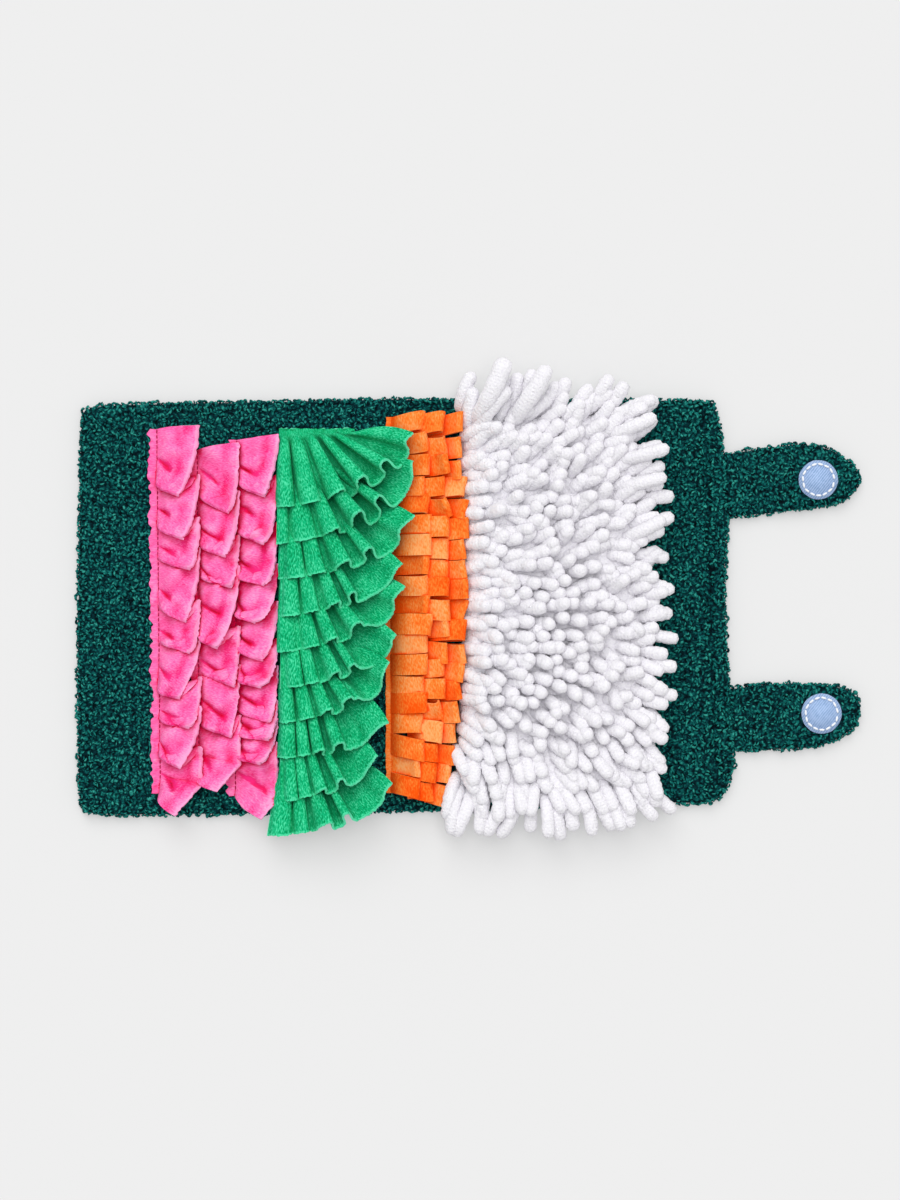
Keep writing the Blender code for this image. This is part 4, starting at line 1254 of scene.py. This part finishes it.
def orange_tab(name, shape, number, tab, twist, form, chance):
    """(mesh, length) of one tab of a column, a loop of cloth twisted about its own length."""
    stitch_x, _, top_y, bottom_y, *reaches = shape
    pitch = (top_y - bottom_y) / TABS
    upper = top_y - tab * pitch + uneven(tab, number, UNEVEN[1]) - TAB_GAP / 2
    lower = top_y - (tab + 1) * pitch + uneven(tab + 1, number, UNEVEN[1]) + TAB_GAP / 2
    reach = tab_reach(tab, number, reaches) + chance.uniform(*TAB_REACHES)
    (first, first_fade), (last, last_fade) = TAB_FAN
    fan = first * max(0.0, 1 - tab / first_fade) + last * max(0.0, 1 - (TABS - 1 - tab) / last_fade)
    yaw = chance.gauss(0, TAB_YAW) + fan
    *slopes, radius, puff = form
    places, turns, length = tab_axis(reach, [slope + chance.gauss(0, TAB_TILT) for slope in slopes], radius)
    tone = chance.gauss(*TAB_TONE)
    darker, dark_share = TAB_ROOT_SHADE
    along_samples, across_samples = TAB_SAMPLES
    middle_y = (upper + lower) / 2
    lines, tones = [], []
    for step in range(across_samples):
        width = (step / (across_samples - 1) - 0.5) * (upper - lower)
        line = []
        tones.append([])
        for here in loop_line(length, radius, puff, along_samples):
            share = min(1.0, max(0.0, here.x / length))
            # painted shade darkens the tab towards its root, beside its random tone
            tones[-1].append(tone - darker * max(0.0, 1 - share / dark_share))
            angle = twist * share ** 1.2
            axis = HEADER_THICK / 2 + TAB_RISE * share
            rise = here.y - axis
            across = width * math.cos(angle) - rise * math.sin(angle)
            lift = width * math.sin(angle) + rise * math.cos(angle) + axis
            spot = share * (len(turns) - 1)
            k = min(int(spot), len(turns) - 2)
            turn = turns[k] + (turns[k + 1] - turns[k]) * (spot - k)
            bent = places[k].lerp(places[k + 1], spot - k) + Vector((-math.sin(turn), math.cos(turn))) * lift
            point = Vector((stitch_x + bent.x, middle_y + across + bent.x * yaw,
                            MAT_TOP + GAP + max(bent.y, FLEECE / 2 + TAB_FLOOR)))
            crumple = wander(point, *TAB_CRUMPLE, number * 31 + tab) * share
            line.append(point + UP * crumple + Vector((crumple * CRUMPLE_OUT, 0, 0)))
        lines.append(line)
    return cloth_mesh(f"{name}_{tab}", lines, tones)


def header_bar(name, number, shape):
    """The raw edge of a folded strip, beyond and along its stitch line."""
    stitch_x, header_left, top_y, bottom_y, *_ = shape
    along, across = HEADER_SAMPLES
    dip, dip_width = HEADER_DIP
    lines = []
    for step in range(across + 1):
        off = -header_left + (header_left + HEADER_RIGHT) * step / across
        line = []
        for k in range(along + 1):
            y = bottom_y + (top_y - bottom_y) * k / along
            ragged = wander(Vector((0, y, 0)), *HEADER_RAGGED, number) * max(0.0, -off / header_left)
            z = HEADER_THICK - FLEECE / 2 + wander(Vector((off, y, 0)), *HEADER_SWELL, number)
            z -= dip * math.exp(-(off / dip_width) ** 2)
            line.append(Vector((stitch_x + off + ragged, y, MAT_TOP + GAP + z)))
        lines.append(line)
    return cloth_mesh(name, lines)[0]


def make_orange():
    """The columns of tabs with their headers and stitches."""
    for number, (name, shape) in enumerate(ORANGE_COLUMNS.items()):
        chance = random.Random(number + 11)
        spread, standing = ORANGE_TABS[name]
        parts, loops = [], []
        for tab in range(TABS):
            twist = math.radians(chance.gauss(0, spread))
            form = TAB_SHAPES[chance.random() < standing]
            mesh, length = orange_tab(name, shape, number, tab, twist, form, chance)
            parts.append(mesh)
            loops.append(length)
        parts.append(header_bar(name + "_header", number, shape))
        piece = fleece_piece(name, "orange", join_meshes(name, parts))
        stitch_x, header_left, top_y, bottom_y, *_ = shape
        length = (top_y - bottom_y) * MM
        thread_z = MAT_TOP + GAP + HEADER_THICK - ORANGE_THREAD_DIP
        seam = [Vector((stitch_x, y, thread_z)) for y in (top_y, bottom_y)]
        make_stitches("thread_" + name, seam, *ORANGE_STITCH, thread("orange"), "fleece_orange")


def noodle_places(along, turns, root, direction, bow, lean, length, radius):
    """Corners of one noodle that grows out of its root and bends over, and its turns of fibre there.

    Along and turns are those of its pattern; direction and bow are in radians and its lean in degrees."""
    steps = NOODLE_STEPS
    s = np.linspace(0, 1, steps + 1)
    at_root, growth, power = NOODLE_BEND
    bend = np.radians(lean) * np.clip(at_root + s * growth, 0, 1) ** power
    heading = direction + bow * (s - BOW_FROM)
    ahead = np.stack([np.cos(heading), np.sin(heading), np.zeros(steps + 1)], axis=1)
    tangents = np.sin(bend)[:, None] * ahead + np.cos(bend)[:, None] * np.array(UP)
    line = np.array(root) + np.concatenate([[np.zeros(3)], np.cumsum(tangents[:-1] * length / steps, axis=0)])
    cap = radius / length
    start_turn = np.clip(along / NOODLE_CAP, 0, 1) * math.pi / 2
    end_turn = np.clip((1 - along) / NOODLE_CAP, 0, 1) * math.pi / 2
    share = np.clip((along - NOODLE_CAP) / (1 - 2 * NOODLE_CAP), 0, 1) * (1 - 2 * cap) + cap
    share += cap * (np.cos(end_turn) - np.cos(start_turn))
    fat = np.sin(start_turn) * np.sin(end_turn)
    middle = np.stack([np.interp(share, s, line[:, k]) for k in range(3)], axis=1)
    tangent = np.stack([np.interp(share, s, tangents[:, k]) for k in range(3)], axis=1)
    side = np.cross(tangent, np.array(UP) + np.array((1e-3, 0, 0)))
    side /= np.linalg.norm(side, axis=1)[:, None]
    normal = np.cross(side, tangent)
    lumps = 1 + sum(half * np.sin(share * length * for_length + turns * for_turn + direction * for_direction
                                  + bow * for_bow)
                    for half, for_length, for_turn, for_direction, for_bow in NOODLE_LUMPS)
    reach = (radius * fat * lumps)[:, None]
    corners = middle + reach * (np.cos(turns)[:, None] * side + np.sin(turns)[:, None] * normal)
    return corners, share * length / NOODLE_RIB * 2 * math.pi


def pile_sides(y):
    """x of the leftmost and the rightmost root of the pile, at this y."""
    for (y0, left0, right0), (y1, left1, right1) in zip(PILE_ROOTS, PILE_ROOTS[1:]):
        if y >= y1:
            share = max(0.0, (y0 - y) / (y0 - y1))
            return left0 + (left1 - left0) * share, right0 + (right1 - right0) * share
    return PILE_ROOTS[-1][1:]


def noodle_rows(chance):
    """Root, direction, bow, lean, length and share of the usual width of every noodle."""
    top_y, bottom_y = PILE_ROOTS[0][0], PILE_ROOTS[-1][0]
    column_pitch, row_pitch = PILE_PITCH
    stray_along, stray_across = PILE_SCATTER
    heading_spread, lean_spread, bow_spread = NOODLE_SPREAD
    rows = round((top_y - bottom_y) / row_pitch)
    noodles = []
    for row in range(rows + 1):
        down = row / rows
        y = top_y + (bottom_y - top_y) * down
        left, right = pile_sides(y)
        count = round((right - left) / column_pitch)
        for column in range(count + 1):
            across = (column + 0.5 * (row % 2)) / (count + 0.5)
            direction, lean, longer = (between(((0.0, a), (0.5, b), (1.0, c)), across)[0]
                                       for a, b, c in between(PILE_FIELD, down))
            rim = min(across, 1 - across, down, 1 - down) * 6
            loose = NOODLE_CALM + (1 - NOODLE_CALM) * min(1.0, rim)
            place = Vector((left + (right - left) * across + chance.uniform(-stray_along, stray_along),
                            y + chance.uniform(-stray_across, stray_across), PILE_ROOT_Z))
            heading = math.radians(direction + chance.gauss(0, heading_spread * loose))
            noodles.append((place, heading, chance.gauss(0, bow_spread),
                            lean + chance.gauss(0, lean_spread * loose),
                            NOODLE_LENGTH + longer + chance.uniform(*NOODLE_LENGTHS),
                            chance.uniform(*NOODLE_WIDTHS)))
    for x, y, degrees, length, bow, width in LONG_NOODLES:
        noodles.append((Vector((x, y, LONG_ROOT_Z)), math.radians(degrees), bow, LONG_LEAN, length, width))
    return noodles


def make_pile():
    """The noodles, shared out over a few pieces, and the bed between them."""
    chance = random.Random(5)
    radius = bpy.context.scene.snuffle_pile.noodle_width / MM / 2
    faces, along, turns = capsule_pattern(*NOODLE_PATTERN)
    noodles = noodle_rows(chance)
    shared = len(noodles) // NOODLE_PARTS + 1
    for number in range(NOODLE_PARTS):
        made = [noodle_places(along, turns, *noodle[:-1], radius * noodle[-1])
                for noodle in noodles[number * shared:(number + 1) * shared]]
        name = f"chenille_noodles_{number + 1}"
        mesh = joined(name, faces, np.array([corners for corners, _ in made]), "turns",
                      np.array([fibres for _, fibres in made]))
        piece = finish_piece(name, mesh, [chenille()], "chenille_white")
        if number == 0:
            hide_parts("chenille_pile")
    make_backing()


def make_backing():
    """The matted roots of the noodles, a low lumpy bed between them."""
    top_y, bottom_y = PILE_ROOTS[0][0], PILE_ROOTS[-1][0]
    rim_height, height, lumps = BED_HEIGHTS
    bm = bmesh.new()
    bmesh.ops.create_grid(bm, x_segments=BED_CELLS[0], y_segments=BED_CELLS[1], size=1.0)
    for vert in bm.verts:
        u, v = (vert.co.x + 1) / 2, (vert.co.y + 1) / 2
        y = bottom_y + (top_y - bottom_y) * v
        left, right = pile_sides(y)
        x = left + (right - left) * u
        edge = math.sqrt(min(1.0, grid_border(u, v, BED_CELLS) / BED_RIM))
        lump = lumps * noise.noise(Vector((x, y, 0)) / BED_LUMP)
        z = MAT_TOP + rim_height + (height - rim_height + lump) * edge
        vert.co = (Vector((x, y, z)) + SHIFT) * MM
    for vert in grow_rim(bm, open_edges(bm))[1]:
        vert.co.z = (MAT_TOP + BED_FOOT) * MM
    close_below(bm)
    finish_piece("chenille_bed", mesh_from(bm, "chenille_bed"), [chenille()], "chenille_white")


def patch_mesh(name, x, y, radius):
    """A round of woven tape with a bound rim, set on its node's place."""
    low, high = (Vector(corner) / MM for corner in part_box(name))
    rim_from, rim_tone, sheen, weave_tone = PATCH_TONES
    wave, wave_scale, wave_from = PATCH_WAVES
    bm = bmesh.new()
    toned = bm.verts.layers.float.new("tone")
    bmesh.ops.create_circle(bm, cap_ends=True, radius=radius, segments=PATCH_SIDES)
    disc = list(bm.faces)
    for inset, depth in PATCH_PROFILE:
        bmesh.ops.inset_region(bm, faces=disc, thickness=inset, depth=depth)
    for vert in grow_rim(bm, open_edges(bm))[1]:
        vert.co.z -= high.z - low.z
    close_below(bm)
    for vert in bm.verts:
        far = math.hypot(vert.co.x, vert.co.y) / radius
        turn = math.atan2(vert.co.y, vert.co.x)
        # painted sheen: lighter and darker wedges across the disc
        wedge = sheen * min(1, far * 2) * math.sin(2 * turn + PAINTED_SHEEN_TURN)
        vert[toned] = rim_tone if far > rim_from else wedge + weave_tone
        wavy = 1 + wave * noise.noise(Vector((vert.co.x, vert.co.y, x)) / wave_scale) * (far > wave_from)
        tilt = wander(vert.co, *PATCH_TILT, radius)
        flat = Vector((vert.co.x * wavy + x, vert.co.y * wavy + y, vert.co.z + high.z - PATCH_SEAT + tilt))
        vert.co = (flat + SHIFT) * MM
    return mesh_from(bm, name)


def make_patches():
    """The round tape patches and the rings of stitches that hold them."""
    ring_share, ring_sway, stitch_radius, gap = PATCH_STITCH
    for name, (x, y, radius) in PATCHES.items():
        finish_piece("tape_" + name, patch_mesh(name, x, y, radius), [loop_tape()], "loop_tape_blue", name)
        thread_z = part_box(name)[1][2] / MM + RING_LIFT
        ring = radius * ring_share
        chance = random.Random(name)
        route = []
        for k in range(RING_STEPS + 1):
            angle = 2 * math.pi * k / RING_STEPS
            out = ring + ring_sway * math.sin(angle * RING_WAVES + chance.uniform(0, 0.1))
            route.append(Vector((x + out * math.cos(angle), y + out * math.sin(angle), thread_z)))
        stitch = 2 * math.pi * ring / bpy.context.scene.snuffle_tape.stitches / (1 + gap)
        make_stitches(f"thread_{name}", route, stitch, stitch_radius, thread("white"), "loop_tape_blue", gap)


def mark_shelter():
    """Stores on all fleece how much of the sky its neighbours hide from each place, which its finish paints
    as shade.
    """
    bm = bmesh.new()
    fleeces = [piece for piece in bpy.data.objects if piece.name.startswith("fleece_")]
    for piece in (*fleeces, bpy.data.objects["sherpa_mat"]):
        bm.from_mesh(piece.data)
    tree = BVHTree.FromBMesh(bm)
    bm.free()
    rays = []
    for k in range(SHELTER_RAYS):
        out, turn = math.sqrt((k + 0.5) / SHELTER_RAYS), k * GOLDEN_TURN
        rays.append(Vector((out * math.cos(turn), out * math.sin(turn), math.sqrt(1 - out * out))))
    off, higher = SHELTER_START
    for piece in fleeces:
        shade_share = []
        for vert in piece.data.vertices:
            start = vert.co + (vert.normal * off + UP * higher) * MM
            blocked = SHELTER_RAYS if vert.normal.z < -0.3 else sum(
                tree.ray_cast(start, ray, SHELTER_REACH * MM)[0] is not None for ray in rays)
            shade_share.append(blocked / SHELTER_RAYS)
        piece.data.attributes.new("shelter", "FLOAT", "POINT").data.foreach_set("value", shade_share)


def make_stage():
    """The floor, the light from all round and from above, and the camera over the mat."""
    scene = bpy.context.scene
    props = scene.snuffle_stage
    bm = bmesh.new()
    bmesh.ops.create_grid(bm, x_segments=1, y_segments=1, size=FLOOR_SIZE)
    floor = bpy.data.objects.new("floor", mesh_from(bm, "floor"))
    scene.collection.objects.link(floor)
    paper = bpy.data.materials.new("paper_matt")
    paper.use_nodes = True
    shader = paper.node_tree.nodes["Principled BSDF"]
    shader.inputs["Base Color"].default_value = props.floor
    shader.inputs["Roughness"].default_value = 1.0
    shader.inputs["Specular IOR Level"].default_value = 0.0
    shader.inputs["Emission Color"].default_value = (1, 1, 1, 1)
    shader.inputs["Emission Strength"].default_value = props.floor_glow
    floor.data.materials.append(paper)

    scene.view_settings.view_transform = "Standard"
    scene.world = bpy.data.worlds.new("studio")
    scene.world.use_nodes = True
    background = scene.world.node_tree.nodes["Background"]
    background.inputs["Color"].default_value = (1, 1, 1, 1)
    background.inputs["Strength"].default_value = props.ambient

    for name, source, width in LIGHTS:
        lamp = bpy.data.lights.new(name, "SUN")
        lamp.angle = math.radians(width)
        lamp.energy = getattr(props, name)
        light = bpy.data.objects.new(name, lamp)
        light.rotation_euler = (-Vector(source)).to_track_quat("-Z", "Y").to_euler()
        scene.collection.objects.link(light)

    data = bpy.data.cameras.new("camera")
    camera = bpy.data.objects.new("camera", data)
    middle = Vector(VIEW_MIDDLE) + SHIFT.xy
    camera.location = (middle.x * MM, middle.y * MM, CAMERA_HEIGHT)
    data.sensor_fit = "VERTICAL"
    data.angle = 2 * math.atan(VIEW_HEIGHT / 2 * MM / CAMERA_HEIGHT)
    data.clip_end = 20
    scene.collection.objects.link(camera)
    scene.camera = camera


def colour_setting(name, description, hex_colour):
    """A colour that a user can change."""
    return FloatVectorProperty(name=name, description=description, subtype="COLOR", size=4, min=0, max=1,
                               default=linear(hex_colour))


def length_setting(name, description, size):
    """A length that a user can change, given in mm."""
    return FloatProperty(name=name, description=description, unit="LENGTH", min=0, default=size * MM)


class SnuffleSherpa(bpy.types.PropertyGroup):
    """Curls and colours of the sherpa."""

    curl_size: length_setting("Curl size", "Length of one loose curl of the pile", 3.9)
    curl_spacing: length_setting("Curl spacing", "Distance between loose curls", 2.6)
    # deep and dark are painted shade between the curls and at their feet, light is a painted highlight where
    # a curl turns up
    deep: colour_setting("Sherpa deep", "Between the curls", "#000E14")
    dark: colour_setting("Sherpa dark", "At the curls' feet", "#022F35")
    middle: colour_setting("Sherpa middle", "On the curls", "#0F6E69")
    light: colour_setting("Sherpa light", "Where a curl turns up", "#38A596")


class SnuffleFleece(bpy.types.PropertyGroup):
    """Colours of the fleece, from its shaded to its lit fibres and at its cut edge."""

    # the deep colours are painted shade for sheltered places; the edge colours are partly painted light
    pink_deep: colour_setting("Pink deep", "Sheltered places of the pink fleece", "#E00049")
    pink_shade: colour_setting("Pink shade", "Shaded fibres of the pink fleece", "#EC2C7E")
    pink_middle: colour_setting("Pink", "The pink fleece", "#FF6FB3")
    pink_light: colour_setting("Pink light", "Lit fibres of the pink fleece", "#FFA2D0")
    pink_edge: colour_setting("Pink edge", "Cut edge of the pink fleece", "#FF9ACC")
    green_deep: colour_setting("Green deep", "Sheltered places of the green fleece", "#006A3D")
    green_shade: colour_setting("Green shade", "Shaded fibres of the green fleece", "#03884F")
    green_middle: colour_setting("Green", "The green fleece", "#0AB577")
    green_light: colour_setting("Green light", "Lit fibres of the green fleece", "#4FDDA5")
    green_edge: colour_setting("Green edge", "Cut edge of the green fleece", "#6FE6B8")
    orange_deep: colour_setting("Orange deep", "Sheltered places of the orange fleece", "#FF5200")
    orange_shade: colour_setting("Orange shade", "Shaded fibres of the orange fleece", "#F95406")
    orange_middle: colour_setting("Orange", "The orange fleece", "#FF8230")
    orange_light: colour_setting("Orange light", "Lit fibres of the orange fleece", "#FFAC68")
    orange_edge: colour_setting("Orange edge", "Cut edge of the orange fleece", "#FF8A42")


class SnufflePile(bpy.types.PropertyGroup):
    """Noodles of the chenille pile."""

    noodle_width: length_setting("Noodle width", "Thickness of one chenille noodle", 9.5)
    # deep is painted shade between the fibres, light a painted highlight on their tips
    deep: colour_setting("Chenille deep", "Between the fibres", "#F0EDF5")
    middle: colour_setting("Chenille", "The white microfibre", "#F9F7FC")
    light: colour_setting("Chenille light", "Tips of the fibres", "#FDFBFF")


class SnuffleTape(bpy.types.PropertyGroup):
    """Round patches of loop tape."""

    stitches: IntProperty(name="Stitches", description="Stitches round one patch", default=15, min=3)
    shade: colour_setting("Tape shade", "Between the ribs", "#6886AE")
    middle: colour_setting("Tape", "The woven tape", "#7F9DC6")
    light: colour_setting("Tape light", "The bound rim", "#ABC3E8")


class SnuffleStage(bpy.types.PropertyGroup):
    """The floor and its light."""

    floor: colour_setting("Floor", "Colour of the floor", "#BABABA")
    floor_glow: FloatProperty(name="Floor glow", description="Light of the floor's own", default=0.3, min=0)
    ambient: FloatProperty(name="Ambient", description="Light from all round", default=0.56, min=0)
    key: FloatProperty(name="Key", description="Strength of the main light", default=0.95, min=0)
    overhead: FloatProperty(name="Overhead", description="Strength of the light above", default=1.17, min=0)


class SNUFFLE_OT_mat(bpy.types.Operator):
    """Make the sherpa mat with its loose curls"""

    bl_idname = "snuffle.mat"
    bl_label = "Sherpa Mat"

    def execute(self, context):
        make_mat()
        return {"FINISHED"}


class SNUFFLE_OT_straps(bpy.types.Operator):
    """Make the two sherpa straps"""

    bl_idname = "snuffle.straps"
    bl_label = "Straps"

    def execute(self, context):
        make_straps()
        return {"FINISHED"}


class SNUFFLE_OT_patches(bpy.types.Operator):
    """Make the round loop-tape patches and their stitches"""

    bl_idname = "snuffle.patches"
    bl_label = "Patches"

    def execute(self, context):
        make_patches()
        return {"FINISHED"}


class SNUFFLE_OT_pink(bpy.types.Operator):
    """Make the pink ruffles and their stitches"""

    bl_idname = "snuffle.pink"
    bl_label = "Pink Ruffles"

    def execute(self, context):
        for seed, (name, shape) in enumerate(PINK_COLUMNS.items()):
            pink_ruffle(name, shape, seed)
        return {"FINISHED"}


class SNUFFLE_OT_green(bpy.types.Operator):
    """Make the green ruffles"""

    bl_idname = "snuffle.green"
    bl_label = "Green Ruffles"

    def execute(self, context):
        for number, row in enumerate(GREEN_ROWS, 1):
            green_ruffle(number, row)
        return {"FINISHED"}


class SNUFFLE_OT_orange(bpy.types.Operator):
    """Make the orange loops and their stitches"""

    bl_idname = "snuffle.orange"
    bl_label = "Orange Loops"

    def execute(self, context):
        make_orange()
        return {"FINISHED"}


class SNUFFLE_OT_pile(bpy.types.Operator):
    """Make the chenille noodles and their bed"""

    bl_idname = "snuffle.pile"
    bl_label = "Chenille Pile"

    def execute(self, context):
        make_pile()
        return {"FINISHED"}


class SNUFFLE_OT_shelter(bpy.types.Operator):
    """Mark the sheltered places of the fleece, where its finish paints shade"""

    bl_idname = "snuffle.shelter"
    bl_label = "Shelter"

    def execute(self, context):
        mark_shelter()
        return {"FINISHED"}


class SNUFFLE_OT_stage(bpy.types.Operator):
    """Make the floor, the lights and the camera"""

    bl_idname = "snuffle.stage"
    bl_label = "Stage"

    def execute(self, context):
        make_stage()
        return {"FINISHED"}


GROUPS = {"snuffle_sherpa": SnuffleSherpa, "snuffle_fleece": SnuffleFleece, "snuffle_pile": SnufflePile,
          "snuffle_tape": SnuffleTape, "snuffle_stage": SnuffleStage}
OPERATORS = (SNUFFLE_OT_mat, SNUFFLE_OT_straps, SNUFFLE_OT_patches, SNUFFLE_OT_pink, SNUFFLE_OT_green,
             SNUFFLE_OT_orange, SNUFFLE_OT_pile, SNUFFLE_OT_shelter, SNUFFLE_OT_stage)


class SNUFFLE_PT_panel(bpy.types.Panel):
    """Lists the sizes, colours and steps that build the mat"""

    bl_label = "Snuffle Mat"
    bl_idname = "SNUFFLE_PT_panel"
    bl_space_type = "VIEW_3D"
    bl_region_type = "UI"
    bl_category = "Snuffle Mat"

    def draw(self, context):
        for group_name, group in GROUPS.items():
            for setting in group.__annotations__:
                self.layout.prop(getattr(context.scene, group_name), setting)
        for operator in OPERATORS:
            self.layout.operator(operator.bl_idname)


CLASSES = (*GROUPS.values(), *OPERATORS, SNUFFLE_PT_panel)


def register():
    for cls in CLASSES:
        bpy.utils.register_class(cls)
    for name, group in GROUPS.items():
        setattr(bpy.types.Scene, name, PointerProperty(type=group))


def unregister():
    for name in GROUPS:
        delattr(bpy.types.Scene, name)
    for cls in reversed(CLASSES):
        bpy.utils.unregister_class(cls)


def main():
    register()
    for operator in OPERATORS:
        group, name = operator.bl_idname.split(".")
        getattr(getattr(bpy.ops, group), name)()


if __name__ == "__main__":
    main()
